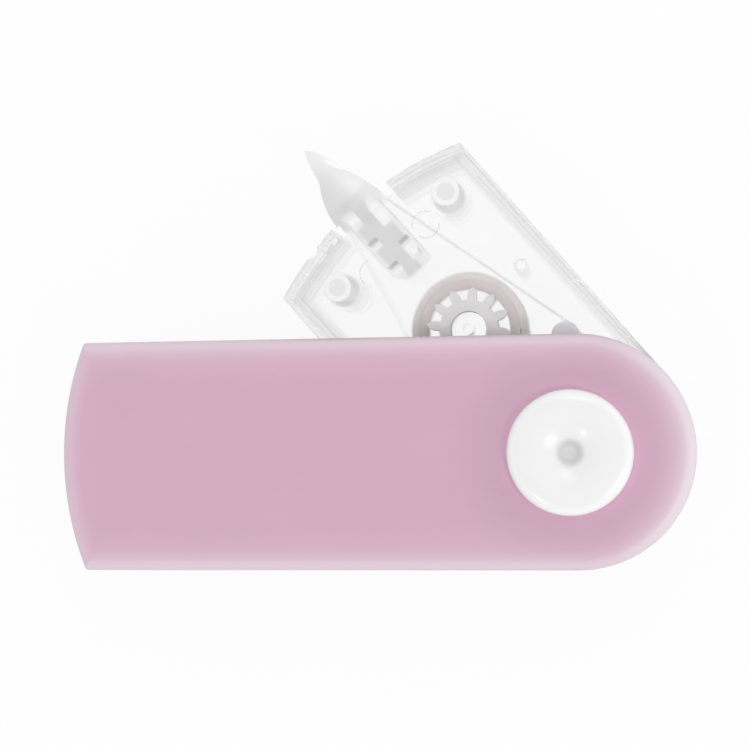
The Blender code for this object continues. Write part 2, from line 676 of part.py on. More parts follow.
def build_tape_head(builder, carrier):
    low = Z_TAPE_LOW - SEAT_GAP
    high = Z_TAPE_HIGH + SEAT_GAP
    head = prism("tape_head", [stem_outline()], low, high)
    builder.cut(head, window_cutters(low, high), carrier)
    blade = prism("head_blade", [blade_outline()], low - BLADE_PROUD, high + BLADE_PROUD)
    cheek = cheek_outline()
    front = prism("head_front_cheek", [cheek], high - FUSE_DEPTH, high + BEAK_CHEEK)
    rear = prism("head_rear_cheek", [cheek], low - BEAK_CHEEK, low + FUSE_DEPTH)
    builder.fuse(head, [front, rear, blade], carrier)
    builder.finish(head, make_material("head_white", (0.85, 0.85, 0.86), 0.35), carrier)


# Tape and film between the reels and the head

def tangent_normal(first, first_radius, second, second_radius, side):
    """The unit normal of the line that touches two circles on the same side of both."""
    line = Vector(second) - Vector(first)
    span = line.length
    along = line / span
    across = Vector((-along.y, along.x)) * side
    cosine = (first_radius - second_radius) / span
    return along * cosine + across * math.sqrt(1.0 - cosine * cosine)


def supply_route():
    """Off the supply roll, over the guide roller, into the mouth and over the beak to its tip."""
    wrap = GUIDE_RADIUS + PATH_GAP + TAPE_THICKNESS / 2
    roll = SUPPLY_TAPE_RADIUS + PATH_GAP + TAPE_THICKNESS / 2
    edge = smooth_path(tape_edge())
    off_roll = tangent_normal((0.0, 0.0), roll, GUIDE_AT, wrap, -1)
    off_guide = tangent_normal(GUIDE_AT, wrap, edge[0], 0.0, -1)
    start = math.atan2(off_roll.y, off_roll.x)
    end = math.atan2(off_guide.y, off_guide.x)
    return [tuple(off_roll * roll)] + arc(GUIDE_AT, wrap, start, end, CURVE_STEPS) + edge


def film_route():
    """Back from the beak's tip along its film side and onto the take-up roll."""
    roll = TAKE_UP_FILM_RADIUS + PATH_GAP + TAPE_THICKNESS / 2
    edge = smooth_path(film_edge())[:-1]
    off_head = tangent_normal(TAKE_UP_AT, roll, edge[0], 0.0, 1)
    return [tuple(Vector(TAKE_UP_AT) + off_head * roll)] + edge


def build_runs(builder, carrier):
    tape = prism("supply_tape", [ribbon(supply_route(), TAPE_THICKNESS)], Z_TAPE_LOW, Z_TAPE_HIGH)
    builder.finish(tape, make_material("tape_white", (0.88, 0.88, 0.87), 0.6), carrier)
    film = prism("used_film", [ribbon(film_route(), TAPE_THICKNESS)], Z_TAPE_LOW, Z_TAPE_HIGH)
    builder.finish(film, make_material("film_clear", (0.8, 0.8, 0.78), 0.3, 0.5), carrier)


# Reels, gears and the guide roller, each about its own axis

def build_supply_gear(builder, carrier):
    bore = HUB_RADIUS + RUN_CLEARANCE
    low = Z_FLOOR + SEAT_GAP
    teeth = gear_outline((0.0, 0.0), SUPPLY_TEETH, SUPPLY_PHASE)
    gear = prism("supply_gear", [teeth], Z_GEAR_LOW, Z_GEAR_HIGH)
    hub = rod("supply_gear_hub", SUPPLY_HUB_RADIUS, low, Z_GEAR_LOW + FUSE_DEPTH, steps=ROUND_STEPS)
    hole = drill("supply_gear_bore", bore, 0.0, Z_COVER_FRONT, steps=ROUND_STEPS)
    builder.fuse(gear, [hub], carrier)
    builder.cut(gear, [hole], carrier)
    builder.finish(gear, make_material("supply_gear_white", (0.82, 0.82, 0.82), 0.4), carrier)
    inner = SUPPLY_HUB_RADIUS + SEAT_GAP
    washer = tube("clutch_washer", inner, inner + WASHER_BAND, Z_WASHER, Z_WASHER + WASHER_THICKNESS)
    builder.finish(washer, make_material("washer_grey", (0.25, 0.25, 0.26), 0.7), carrier)


def build_supply_reel(builder, carrier):
    bore = SUPPLY_HUB_RADIUS + RUN_CLEARANCE
    core = tube("supply_core", bore, SUPPLY_CORE_RADIUS, Z_TAPE_LOW, Z_TAPE_HIGH)
    builder.finish(core, make_material("supply_core_white", (0.82, 0.82, 0.82), 0.4), carrier)
    inner = SUPPLY_CORE_RADIUS + SEAT_GAP
    roll = tube("supply_tape_roll", inner, SUPPLY_TAPE_RADIUS, Z_TAPE_LOW, Z_TAPE_HIGH)
    builder.finish(roll, make_material("tape_roll_white", (0.85, 0.85, 0.84), 0.6), carrier)


def build_idler(builder, carrier):
    bore = circle((0.0, 0.0), IDLER_AXLE + RUN_CLEARANCE, SMALL_STEPS)
    teeth = gear_outline((0.0, 0.0), IDLER_TEETH, IDLER_PHASE)
    gear = prism("idler_gear", [teeth, bore], Z_GEAR_LOW, Z_GEAR_HIGH)
    builder.finish(gear, make_material("idler_white", (0.82, 0.82, 0.82), 0.4), carrier)


def take_up_core_outline():
    """A spool tube on spokes that stand behind the gear's teeth, with see-through windows."""
    inner = TAKE_UP_HUB_RADIUS + SEAT_GAP
    ring = inner + SPOKE_RING
    loops = [circle((0.0, 0.0), TAKE_UP_CORE_RADIUS), circle((0.0, 0.0), inner)]
    outer_half = math.asin(SPOKE_WIDTH / 2 / TAKE_UP_CORE_BORE)
    inner_half = math.asin(SPOKE_WIDTH / 2 / ring)
    for spoke in range(SPOKES):
        first = TAKE_UP_PHASE + 2 * math.pi * spoke / SPOKES
        second = first + 2 * math.pi / SPOKES
        steps = ROUND_STEPS // SPOKES
        outside = arc((0.0, 0.0), TAKE_UP_CORE_BORE, first + outer_half, second - outer_half, steps)
        inside = arc((0.0, 0.0), ring, second - inner_half, first + inner_half, steps)
        loops.append(outside + inside)
    return loops


def build_take_up_reel(builder, carrier):
    bore = TAKE_UP_AXLE + RUN_CLEARANCE
    low = Z_FLOOR + SEAT_GAP
    teeth = gear_outline((0.0, 0.0), TAKE_UP_TEETH, TAKE_UP_PHASE)
    gear = prism("take_up_gear", [teeth], Z_GEAR_LOW, Z_GEAR_HIGH)
    hub = rod("take_up_hub", TAKE_UP_HUB_RADIUS, low, Z_GEAR_LOW + FUSE_DEPTH, steps=ROUND_STEPS)
    hole = drill("take_up_bore", bore, 0.0, Z_COVER_FRONT, steps=ROUND_STEPS)
    builder.fuse(gear, [hub], carrier)
    builder.cut(gear, [hole], carrier)
    builder.finish(gear, make_material("take_up_gear_white", (0.8, 0.8, 0.8), 0.4), carrier)
    core = prism("take_up_core", take_up_core_outline(), Z_TAPE_LOW, Z_TAPE_HIGH)
    builder.finish(core, make_material("take_up_core_grey", (0.55, 0.52, 0.52), 0.45), carrier)
    inner = TAKE_UP_CORE_RADIUS + SEAT_GAP
    roll = tube("used_film_roll", inner, TAKE_UP_FILM_RADIUS, Z_TAPE_LOW, Z_TAPE_HIGH)
    builder.finish(roll, make_material("film_roll_grey", (0.7, 0.69, 0.68), 0.35), carrier)


def build_guide_roller(builder, carrier):
    bore = GUIDE_POST_RADIUS + RUN_CLEARANCE
    rim = GUIDE_RADIUS + GUIDE_FLANGE
    low = Z_TAPE_LOW - SEAT_GAP
    high = Z_TAPE_HIGH + SEAT_GAP
    top = high + GUIDE_FLANGE
    bottom = low - GUIDE_FLANGE
    profile = [(rim, top), (rim, high), (GUIDE_RADIUS, high), (GUIDE_RADIUS, low)]
    profile += [(rim, low), (rim, bottom), (bore, bottom), (bore, top)]
    roller = turned("guide_roller", profile, steps=SMALL_STEPS)
    builder.finish(roller, make_material("roller_grey", (0.5, 0.49, 0.49), 0.4), carrier)


def build_cartridge(builder, parts):
    turn = math.pi - OPEN_ANGLE
    cartridge = make_frame("cartridge_frame", parts, (PIVOT_X, 0.0, 0.0), turn)
    frames = {}
    places = {"supply": (0.0, 0.0), "idler": IDLER_AT, "take_up": TAKE_UP_AT, "guide": GUIDE_AT}
    for name, place in places.items():
        frames[name] = make_frame(name + "_axis", parts, (*place, 0.0), 0.0)
        frames[name].parent = cartridge
    build_casing_rear(builder, cartridge)
    build_casing_front(builder, cartridge)
    build_tape_head(builder, cartridge)
    build_runs(builder, cartridge)
    build_supply_gear(builder, frames["supply"])
    build_supply_reel(builder, frames["supply"])
    build_idler(builder, frames["idler"])
    build_take_up_reel(builder, frames["take_up"])
    build_guide_roller(builder, frames["guide"])


def main():
    clear_scene()
    parts = make_collection("correction_tape")
    guides = make_collection("shaping_guides")
    builder = Builder(parts, guides)
    cover = make_frame("cover_frame", parts, (0.0, 0.0, 0.0), 0.0)
    rivet = make_frame("rivet_axis", parts, (PIVOT_X, 0.0, 0.0), 0.0)
    build_cover(builder, cover)
    build_pivot_caps(builder, rivet)
    build_cartridge(builder, parts)


main()
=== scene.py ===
"""Looks of the pocket correction tape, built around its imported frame.

Metres, +Z up, in the frame's own axes. Pieces of the cartridge are drawn in the cartridge's axes: the
origin is the pivot, +X runs to the head, -Y is the side of the fresh tape and +Y that of the film. A
pair of lengths is a place, a span from low to high, or a radius with a height.
"""
import functools
import json
import math

import bmesh
import bpy
from mathutils import Matrix, Vector


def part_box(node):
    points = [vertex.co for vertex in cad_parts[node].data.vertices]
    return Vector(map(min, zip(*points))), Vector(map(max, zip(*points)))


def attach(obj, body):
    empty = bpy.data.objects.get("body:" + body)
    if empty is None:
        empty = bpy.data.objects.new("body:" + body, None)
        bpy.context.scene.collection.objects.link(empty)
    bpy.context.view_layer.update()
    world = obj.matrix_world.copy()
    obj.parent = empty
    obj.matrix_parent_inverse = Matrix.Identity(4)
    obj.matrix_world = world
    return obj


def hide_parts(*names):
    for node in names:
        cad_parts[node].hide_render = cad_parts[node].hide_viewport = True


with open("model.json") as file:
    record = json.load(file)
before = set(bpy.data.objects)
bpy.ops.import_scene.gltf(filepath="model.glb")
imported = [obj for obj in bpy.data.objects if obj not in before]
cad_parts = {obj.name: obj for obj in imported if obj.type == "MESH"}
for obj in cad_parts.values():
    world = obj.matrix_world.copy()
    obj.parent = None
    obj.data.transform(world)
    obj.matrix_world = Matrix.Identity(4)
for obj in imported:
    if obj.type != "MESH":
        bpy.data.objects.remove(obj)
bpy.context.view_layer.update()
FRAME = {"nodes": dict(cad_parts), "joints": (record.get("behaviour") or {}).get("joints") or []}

MM = 0.001


def mm(*lengths):
    return tuple(length * MM for length in lengths)


# Camera, fitted to the cover's outline in the photograph
CAMERA_AT = mm(21.25, 4.73, 162.6)
CAMERA_FORWARD = (-0.13705, 0.01914, -0.99038)
CAMERA_RIGHT = (0.99043, -0.01363, -0.13732)
FOCAL_PIXELS = 1565.0
IMAGE_PIXELS = 750.0
SENSOR_WIDTH = 36.0

# Light
SKY_TOWARDS = (0.62, -0.05, 0.74)
SKY_RANGE = (0.53, 0.92)
LAMPS = {
    "left_softbox": (mm(-85, -155, 300), 32 * MM, 0.045),
    "right_softbox": (mm(170, -120, 300), 75 * MM, 0.13),
    "top_softbox": (mm(50, 175, 300), 110 * MM, 0.075),
}
FLOOR_HALF = 600 * MM
FLOOR_LEVEL = -0.05 * MM
FLOOR_GLOW = 0.93
LIGHT_BOUNCES = 24
CLEAR_BOUNCES = 64

# Cover
COVER_PLATE = 1.4 * MM
COVER_END_WALL = 1.5 * MM
COVER_END_RADIUS = 30.3 * MM
COVER_EDGE_ROUND = 1.1 * MM
COVER_INNER_ROUND = 0.2 * MM
COVER_SLOT = mm(1.4, 11.65)
STEM_HOLE = 2.2 * MM
REAR_RECESS = mm(4.1, 0.95)
OPEN_ANGLE = math.radians(49.0)
# Painted light on the cover's thin edges, where light shows through the plastic: its reach, and how far
# it runs as it widens
SIDE_LIGHT_FADE = mm(0.9, 1.5)
SIDE_LIGHT_FADE_RUN = 8 * MM
END_LIGHT_FADE = 0.7 * MM
# Painted light round the cap's seat, against the shade the cap casts there
SEAT_LIGHT_FADE = 0.45 * MM
# Painted shadow round the pivot, from the reels that lie behind the cover
PIVOT_PAINTED_SHADOW = mm(6.0, 13.0)

# Pivot caps
CAP_RADIUS = 6.0 * MM
CAP_SEAT = 13.15 * MM
CAP_RIM_HEIGHT = 0.35 * MM
CAP_RIDGE = mm(3.9, 14.78)
CAP_RIM_POWER = 3.1
CAP_FOOT = 0.1 * MM
# Span of the painted light on the cap's rim
CAP_PAINTED_LIGHT_RIM = mm(4.9, 5.7)
DISH_EDGE = 1.5 * MM
DISH_DEPTH = 0.5 * MM
DIMPLE_FLOOR = 0.7 * MM
DIMPLE_DEPTH = 0.5 * MM
DIMPLE_BOWL = 0.18 * MM
STEM_RADIUS = 2.1 * MM
STEM_END = 1.05 * MM
REAR_CAP_RADIUS = 4.0 * MM
REAR_CAP_LOW = 0.1 * MM
REAR_CAP_HIGH = 0.85 * MM
REAR_CAP_ROUND = 0.25 * MM

# Cartridge
CASING_FLOOR = 2.8 * MM
CEILING = 10.25 * MM
PLATE_TOP = 11.35 * MM
ON_PLATE = PLATE_TOP + 0.005 * MM
TAPE_LOW = 3.6 * MM
TAPE_HIGH = 8.6 * MM
SUPPLY_CORE_RADIUS = 5.05 * MM
SUPPLY_TAPE_RADIUS = 8.4 * MM
TAKE_UP_CORE_RADIUS = 5.0 * MM
TAKE_UP_FILM_RADIUS = 5.75 * MM
SPOKE_HEIGHT = 0.7 * MM
SPOOL_HOLLOW = mm(1.5, 4.88)
SPOOL_LIP = mm(3.95, 4.35)
SPOOL_LIP_TOP = TAPE_HIGH - 0.03 * MM
GUIDE_RADIUS = 1.1 * MM
GUIDE_FLANGE = 0.25 * MM
GUIDE_BORE = 0.55 * MM
GUIDE_CAP = 0.25 * MM
GUIDE_CAP_ROOM = 0.02 * MM
GUIDE_PLAY = 0.1 * MM
WINDING_GAP = 0.1 * MM
STRIP_THICKNESS = 0.05 * MM
FILM_THICKNESS = 0.03 * MM
WOUND_FILM_THICKNESS = 0.062 * MM
WOUND_FILM = (TAKE_UP_CORE_RADIUS + 0.03 * MM, TAKE_UP_FILM_RADIUS - 0.025 * MM)
TAPE_TURNS = 26
FILM_TURNS = 11
TAPE_STRIP = 0.12 * MM
PATH_GAP = 0.12 * MM
RIM_FRONT = 30.95 * MM
RIM_TAPE_SIDE = 10.55 * MM
RIM_FILM_SIDE = 9.45 * MM
# Reach of the painted shade along the plate's rims
RIM_SHADE_FADE = 0.15 * MM
FRONT_RADIUS = 31.8 * MM
FRONT_TONGUE = mm(-3.25, 2.1)
REAR_TONGUE = mm(-4.3, 2.95)
TONGUE_ROOT = 30.18 * MM
TONGUE_NOSE = 0.2
TONGUE_INSET = 0.02 * MM
MOUTH_MIDDLE = -0.75 * MM
MOUTH_HALF = 3.2 * MM
MOUTH_DEPTH = 29.8 * MM
MOUTH_FADE = 0.2 * MM
BOSSES = (mm(26.8, -7.85), mm(27.0, 6.25))
PIN_RADIUS = 0.86 * MM
PIN_LOW = 10.9 * MM
PIN_FACE = PLATE_TOP - 0.02 * MM
PIN_RIM = mm(1.38, 0.04)
# Height over which the pin's rim is whitened, as a painted highlight
PIN_HIGHLIGHT = (PLATE_TOP - 0.015 * MM, PLATE_TOP)
# White domes that stand for glints by the wall's notch, as painted light
GLINT_BUMPS = (
    (mm(30.55, 3.45), 0.34 * MM),
    (mm(30.6, 4.6), 0.3 * MM),
    (mm(31.1, 4.85), 0.26 * MM),
    (mm(31.15, 3.55), 0.24 * MM),
    (mm(29.95, 7.6), 0.26 * MM),
)
BUMP_HEIGHT = 0.1 * MM
SEAM_SIDE = (mm(4.0, -11.07), mm(25.8, -11.16))
SEAM_FRONT = (31.2 * MM, math.radians(-19.5), math.radians(-8.5))
SEAM_WIDTH = 0.1 * MM
SEAM_HEIGHT = (ON_PLATE, PLATE_TOP + 0.02 * MM)
POST_AT = mm(16.6, -8.5)
POST_RING = mm(0.42, 0.7)
POST_RING_SPAN = mm(10.155, 10.195)
# Faint grey rings that paint the shade inside the bosses
BOSS_RINGS = (mm(1.7, 5.8), mm(1.64, 7.66))
BOSS_RING_BORE = 0.9 * MM
BOSS_RING_HEIGHT = 0.04 * MM
BOSS_REACH = mm(2.1, 2.3)
MARK_RADIUS = 1.31 * MM
MARK_WIRE = 0.1 * MM
MARK_TOP = CEILING - 0.01 * MM
TAPE_SIDE_MARK = (mm(25.85, -4.3), ((-60.0, 65.0), (110.0, 235.0)))
FILM_SIDE_MARK = (mm(25.8, 2.7), ((-20.0, 100.0),))

# Applicator head, in the cartridge's axes; edges are (share of length, share of width on that side)
BEAK_BASE = 31.9 * MM
BEAK_LENGTH = 8.0 * MM
BEAK_TAPE_SIDE = 3.15 * MM
BEAK_FILM_SIDE = 2.45 * MM
BEAK_TIP_SHIFT = 0.25 * MM
BEAK_CHEEK = 0.9 * MM
BEAK_SLANT = 1.1 * MM
BLADE_INSET = STRIP_THICKNESS / 2 + 0.02 * MM
BLADE_TIP = BEAK_BASE + BEAK_LENGTH - 0.15 * MM
BLADE_NOSE = 0.1 * MM
CHEEK_RIM = 0.18 * MM
CHEEK_RIDGE = 0.42
HEAD_LOW = 3.5 * MM
HEAD_HIGH = 8.7 * MM
STEM_TAIL_X = 23.3 * MM
STEM_TAPE_SIDE = 2.55 * MM
STEM_FILM_SIDE = 1.6 * MM
STEM_CHAMFER = 0.45 * MM
STEM_FILM_CHAMFER = mm(1.2, 0.9)
STEM_WEB_TAPE_SIDE = 1.1 * MM
STEM_WEB_FILM_SIDE = -0.2 * MM
STEM_RAIL = 0.25 * MM
STEM_DECK = 0.35 * MM
STEM_UNDERCUT = 0.3 * MM
STEM_POCKET = mm(24.3, 32.8)
STEM_HEEL = 24.6 * MM
STEM_TAPE_WINDOWS = (mm(24.3, 26.65), mm(28.7, 31.3))
STEM_FILM_WINDOWS = (mm(24.3, 25.4), mm(27.45, 28.5), mm(30.3, 31.6))
STEM_RIB = mm(0.3, 2.6)
STEM_CENTRE = 27.7 * MM
STEM_ROOT = BEAK_BASE + BEAK_SLANT + 0.4 * MM
SHOULDER_SPAN = mm(30.75, 32.2)
SHOULDER_TAPE_SIDE = mm(-3.15, -2.45)
SHOULDER_FILM_SIDE = mm(1.5, 2.1)
SHOULDER_HEIGHT = mm(8.66, 8.95)
TAPE_EDGE = ((0.0, 0.93), (0.21, 0.8), (0.42, 0.63), (0.67, 0.46), (0.82, 0.33), (0.93, 0.18), (1.0, 0.0))
FILM_EDGE = ((0.0, 0.72), (0.28, 0.55), (0.56, 0.37), (0.77, 0.26), (0.94, 0.1), (1.0, 0.0))
CHEEK_TAPE_EDGE = (
    (0.0, 1.0), (0.21, 0.87), (0.42, 0.66), (0.56, 0.42), (0.74, 0.31), (0.86, 0.25), (0.94, 0.12),
)
CHEEK_FILM_EDGE = (
    (0.0, 1.0), (0.21, 0.89), (0.42, 0.65), (0.57, 0.39), (0.74, 0.26), (0.86, 0.16), (0.94, 0.08),
)
CHEEK_RAMP = 1.6 * MM
CHEEK_RAMP_LOW = 0.08
CHEEK_FADE = mm(34.6, 39.2)
CHEEK_FADED = 0.9
# Where the painted light spot lies by the tape on the beak
WING_LIGHT_AT = mm(36.7, -1.56)
WING_LIGHT_SLOPE = 0.39
WING_LIGHT_REACH = mm(1.5, 0.3)
# Spans of the painted shade on the beak's film side, lighter towards the tip, and of the painted light
# and shade on the stem
BEAK_TONE = (BEAK_BASE - 0.6 * MM, BEAK_BASE + 0.6 * MM)
TIP_LIGHT = mm(35.0, 38.5)
FILM_SIDE_SHADE = mm(-2.2, 0.6)
STEM_ENDS = mm(3.0, 3.6)
STEM_WEB_EDGE = mm(0.7, 0.95)
STEM_RAIL_LIGHT = mm(1.4, 1.8)
STEM_WEB_SHADE = mm(28.8, 30.8)
STEM_INSIDE_SHADE = mm(1.45, 1.65)

# Grain of the moulded plastics
TONE_CLOUDS = 2.2 * MM
GLOSS_CLOUDS = 0.9 * MM
GRAIN = 0.12 * MM

# Rounded edges and fineness of the pieces
FINE_ROUND = 0.05 * MM
GEAR_ROUND = 0.06 * MM
WIDE_ROUND = 0.12 * MM
ROUND_STEPS = 96
SMALL_STEPS = 48
CURVE_STEPS = 8
CAP_CROWN_STEPS = 40
CAP_RIM_STEPS = 24
BUMP_STEPS = 6
CHEEK_STEPS = 48
CHEEK_STEPS_ACROSS = 20
SMOOTH_ANGLE = math.radians(32.0)
WELD_DISTANCE = 0.0005 * MM
FLAT_ANGLE = math.radians(0.3)


def joint_place(name):
    places = {joint["name"]: joint["pos_m"] for joint in FRAME["joints"]}
    return Vector((places[name][0], places[name][1], 0.0))


PIVOT = joint_place("cartridge_swivel")
TAKE_UP = joint_place("take_up_spin")
GUIDE = joint_place("guide_spin")
CARTRIDGE = Matrix.Translation(PIVOT) @ Matrix.Rotation(math.pi - OPEN_ANGLE, 4, "Z")
TAKE_UP_AT = (CARTRIDGE.inverted() @ TAKE_UP).to_2d()
GUIDE_AT = (CARTRIDGE.inverted() @ GUIDE).to_2d()


# Outlines and paths, as lists of (x, y) points

def arc(centre, radius, start, end, steps):
    turn = (end - start) / steps
    angles = [start + turn * step for step in range(steps + 1)]
    return [(centre[0] + radius * math.cos(a), centre[1] + radius * math.sin(a)) for a in angles]


def quarter_angles(steps):
    """Angles from 0 to a right angle."""
    return [math.pi / 2 * step / steps for step in range(steps + 1)]


def circle(centre, radius, steps):
    return arc(centre, radius, 0.0, 2 * math.pi, steps)[:-1]


def smooth_path(points):
    """Points along a smooth curve that passes through the given ones."""
    ends = [points[0], *points, points[-1]]
    path = []
    for before, here, there, after in zip(ends, ends[1:], ends[2:], ends[3:]):
        p0, p1, p2, p3 = (Vector(p) for p in (before, here, there, after))
        for step in range(CURVE_STEPS):
            t = step / CURVE_STEPS
            point = p1 * 2 + (p2 - p0) * t
            point += (p0 * 2 - p1 * 5 + p2 * 4 - p3) * t * t
            point += (p1 * 3 - p0 - p2 * 3 + p3) * t * t * t
            path.append(tuple(point / 2))
    path.append(tuple(points[-1]))
    return path


def offset_path(path, distance):
    """A path moved sideways, to its left for a positive distance."""
    moved = []
    for index, here in enumerate(path):
        before = Vector(path[max(index - 1, 0)])
        after = Vector(path[min(index + 1, len(path) - 1)])
        along = (after - before).normalized()
        moved.append(tuple(Vector(here) + Vector((-along.y, along.x)) * distance))
    return moved


def height_at(path, x):
    """The y of a path that runs along x, read between its points."""
    for (x0, y0), (x1, y1) in zip(path, path[1:]):
        if x0 <= x <= x1:
            return y0 + (y1 - y0) * (x - x0) / (x1 - x0)
    return path[0][1] if x < path[0][0] else path[-1][1]


def cover_outline(inset):
    """The cover's outline, drawn in by a distance: a round end, two sides and a flatter end."""
    low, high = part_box("cover_shell")
    half = high.y - inset
    round_centre = (high.x - high.y, 0.0)
    end_centre = (low.x + COVER_END_RADIUS, 0.0)
    radius = COVER_END_RADIUS - inset
    sweep = math.asin(half / radius)
    right = arc(round_centre, half, -math.pi / 2, math.pi / 2, ROUND_STEPS)
    left = arc(end_centre, radius, math.pi - sweep, math.pi + sweep, ROUND_STEPS // 2)
    return right + left


def slot_outline():
    """The swing slot, which leaves the end wall and runs out past the sides and the round end."""
    low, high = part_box("cover_shell")
    reach = high.x * 2
    end_centre = (low.x + COVER_END_RADIUS, 0.0)
    sweep = math.asin(high.y / COVER_END_RADIUS)
    radius = COVER_END_RADIUS - COVER_END_WALL
    wall = arc(end_centre, radius, math.pi - sweep, math.pi + sweep, ROUND_STEPS // 2)
    return wall + [(wall[-1][0], -reach), (reach, -reach), (reach, reach), (wall[0][0], reach)]


def beak_edge(shares, side):
    tip = -BEAK_TIP_SHIFT
    width = side - tip
    return smooth_path([(BEAK_BASE + BEAK_LENGTH * a, tip + width * b) for a, b in shares])


def tangent_normal(first, first_radius, second, second_radius, side):
    """The unit normal of the line that touches two circles on the same side of both."""
    line = Vector(second) - Vector(first)
    span = line.length
    along = line / span
    across = Vector((-along.y, along.x)) * side
    cosine = (first_radius - second_radius) / span
    return along * cosine + across * math.sqrt(1.0 - cosine * cosine)


def tape_route():
    """Off the supply roll, over the guide roller, into the mouth and over the beak to its tip."""
    wrap = GUIDE_RADIUS + PATH_GAP + TAPE_STRIP / 2
    roll = SUPPLY_TAPE_RADIUS + PATH_GAP + TAPE_STRIP / 2
    edge = beak_edge(TAPE_EDGE, -BEAK_TAPE_SIDE)
    off_roll = tangent_normal((0.0, 0.0), roll, GUIDE_AT, wrap, -1)
    off_guide = tangent_normal(GUIDE_AT, wrap, edge[0], 0.0, -1)
    start = math.atan2(off_roll.y, off_roll.x)
    end = math.atan2(off_guide.y, off_guide.x)
    return [tuple(off_roll * roll)] + arc(GUIDE_AT, wrap, start, end, CURVE_STEPS) + edge


def film_route():
    """Back from the beak's tip along its film side and onto the take-up roll."""
    roll = TAKE_UP_FILM_RADIUS + PATH_GAP + TAPE_STRIP / 2
    edge = beak_edge(FILM_EDGE, BEAK_FILM_SIDE)[:-1]
    off_head = tangent_normal(TAKE_UP_AT, roll, edge[0], 0.0, 1)
    return [tuple(TAKE_UP_AT + off_head * roll)] + edge


def winding(centre, inner, outer, turns):
    """A spiral from an inner to an outer radius, as wound strip lies on a spool."""
    steps = turns * SMALL_STEPS
    points = []
    for step in range(steps + 1):
        radius = inner + (outer - inner) * step / steps
        angle = 2 * math.pi * step / SMALL_STEPS
        points.append((centre[0] + radius * math.cos(angle), centre[1] + radius * math.sin(angle)))
    return points


# Meshes

def linked(name, data):
    """A new object in the scene."""
    thing = bpy.data.objects.new(name, data)
    bpy.context.scene.collection.objects.link(thing)
    return thing


def tidy(mesh):
    """Welds a mesh, turns its faces outwards and shades it smooth between its real edges."""
    shape = bmesh.new()
    shape.from_mesh(mesh)
    bmesh.ops.remove_doubles(shape, verts=shape.verts, dist=WELD_DISTANCE)
    bmesh.ops.dissolve_degenerate(shape, edges=shape.edges, dist=WELD_DISTANCE)
    loose = [edge for edge in shape.edges if not edge.link_faces]
    bmesh.ops.delete(shape, geom=loose, context="EDGES")
    bmesh.ops.recalc_face_normals(shape, faces=shape.faces)
    shape.to_mesh(mesh)
    shape.free()
    mesh.shade_smooth()
    mesh.set_sharp_from_angle(angle=SMOOTH_ANGLE)
    return mesh


def loft(name, rings, looped=False):
    """Skins rings of equally many points, and caps the two ends unless the rings run in a loop."""
    count = len(rings[0])
    points = [point for ring in rings for point in ring]
    faces = []
    for row in range(len(rings) if looped else len(rings) - 1):
        here = row * count
        there = (row + 1) % len(rings) * count
        for index in range(count):
            after = (index + 1) % count
            faces.append((here + index, here + after, there + after, there + index))
    if not looped:
        faces.append(tuple(range(count))[::-1])
        faces.append(tuple(range(len(points) - count, len(points))))
    mesh = bpy.data.meshes.new(name)
    mesh.from_pydata(points, [], faces)
    return tidy(mesh)


def lathe(name, profile, centre, steps=ROUND_STEPS):
    """Turns (radius, height) points about a vertical axis; points that stay off it make a closed ring."""
    rings = []
    for radius, height in profile:
        rings.append([(x, y, height) for x, y in circle(centre, radius, steps)])
    return loft(name, rings, looped=profile[0][0] > 0.0)


def prism(name, outline, low, high):
    return loft(name, [[(x, y, low) for x, y in outline], [(x, y, high) for x, y in outline]])


def strip(name, path, thickness, low, high):
    """A flat strip that stands on edge along a path."""
    left = offset_path(path, thickness / 2)
    right = offset_path(path, -thickness / 2)
    rings = []
    for (x0, y0), (x1, y1) in zip(left, right):
        rings.append([(x0, y0, low), (x0, y0, high), (x1, y1, high), (x1, y1, low)])
    return loft(name, rings)


def evaluated(mesh, prepare):
    """The mesh after modifiers that prepare() puts on an object, whose helpers are then removed."""
    thing = linked(mesh.name, mesh)
    helpers = prepare(thing)
    graph = bpy.context.evaluated_depsgraph_get()
    result = bpy.data.meshes.new_from_object(thing.evaluated_get(graph))
    for item in [thing, *helpers]:
        bpy.data.objects.remove(item)
    return tidy(result)


def combined(mesh, others, operation):
    """The mesh after closed meshes are cut out of it or fused to it."""
    def prepare(thing):
        tools = []
        for other in others:
            tool = linked(other.name, other)
            step = thing.modifiers.new("step", "BOOLEAN")
            step.operation = operation
            step.solver = "EXACT"
            step.object = tool
            tools.append(tool)
        return tools
    return evaluated(mesh, prepare)


def carved(mesh, cutters):
    return combined(mesh, cutters, "DIFFERENCE")


def softened(mesh, width, steps=2, angle=40.0):
    """The mesh with its sharp edges rounded, and normals that keep its flats flat."""
    def prepare(thing):
        bevel = thing.modifiers.new("rounding", "BEVEL")
        bevel.width = width
        bevel.segments = steps
        bevel.limit_method = "ANGLE"
        bevel.angle_limit = math.radians(angle)
        return []
    return evaluated(mesh, prepare)


def node_copy(node):
    """A copy of a node's mesh, with the triangles of its flats merged into whole faces."""
    mesh = FRAME["nodes"][node].data.copy()
    mesh.name = node + "_fine"
    return flattened(mesh)


def flattened(mesh):
    """A welded copy of a mesh, with the faces that lie in one plane merged."""
    shape = bmesh.new()
    shape.from_mesh(mesh)
    bmesh.ops.remove_doubles(shape, verts=shape.verts, dist=WELD_DISTANCE)
    bmesh.ops.dissolve_limit(shape, angle_limit=FLAT_ANGLE, verts=shape.verts, edges=shape.edges)
    clean = bpy.data.meshes.new(mesh.name)
    shape.to_mesh(clean)
    shape.free()
    if "custom_normal" in clean.attributes:
        clean.attributes.remove(clean.attributes["custom_normal"])
    return tidy(clean)


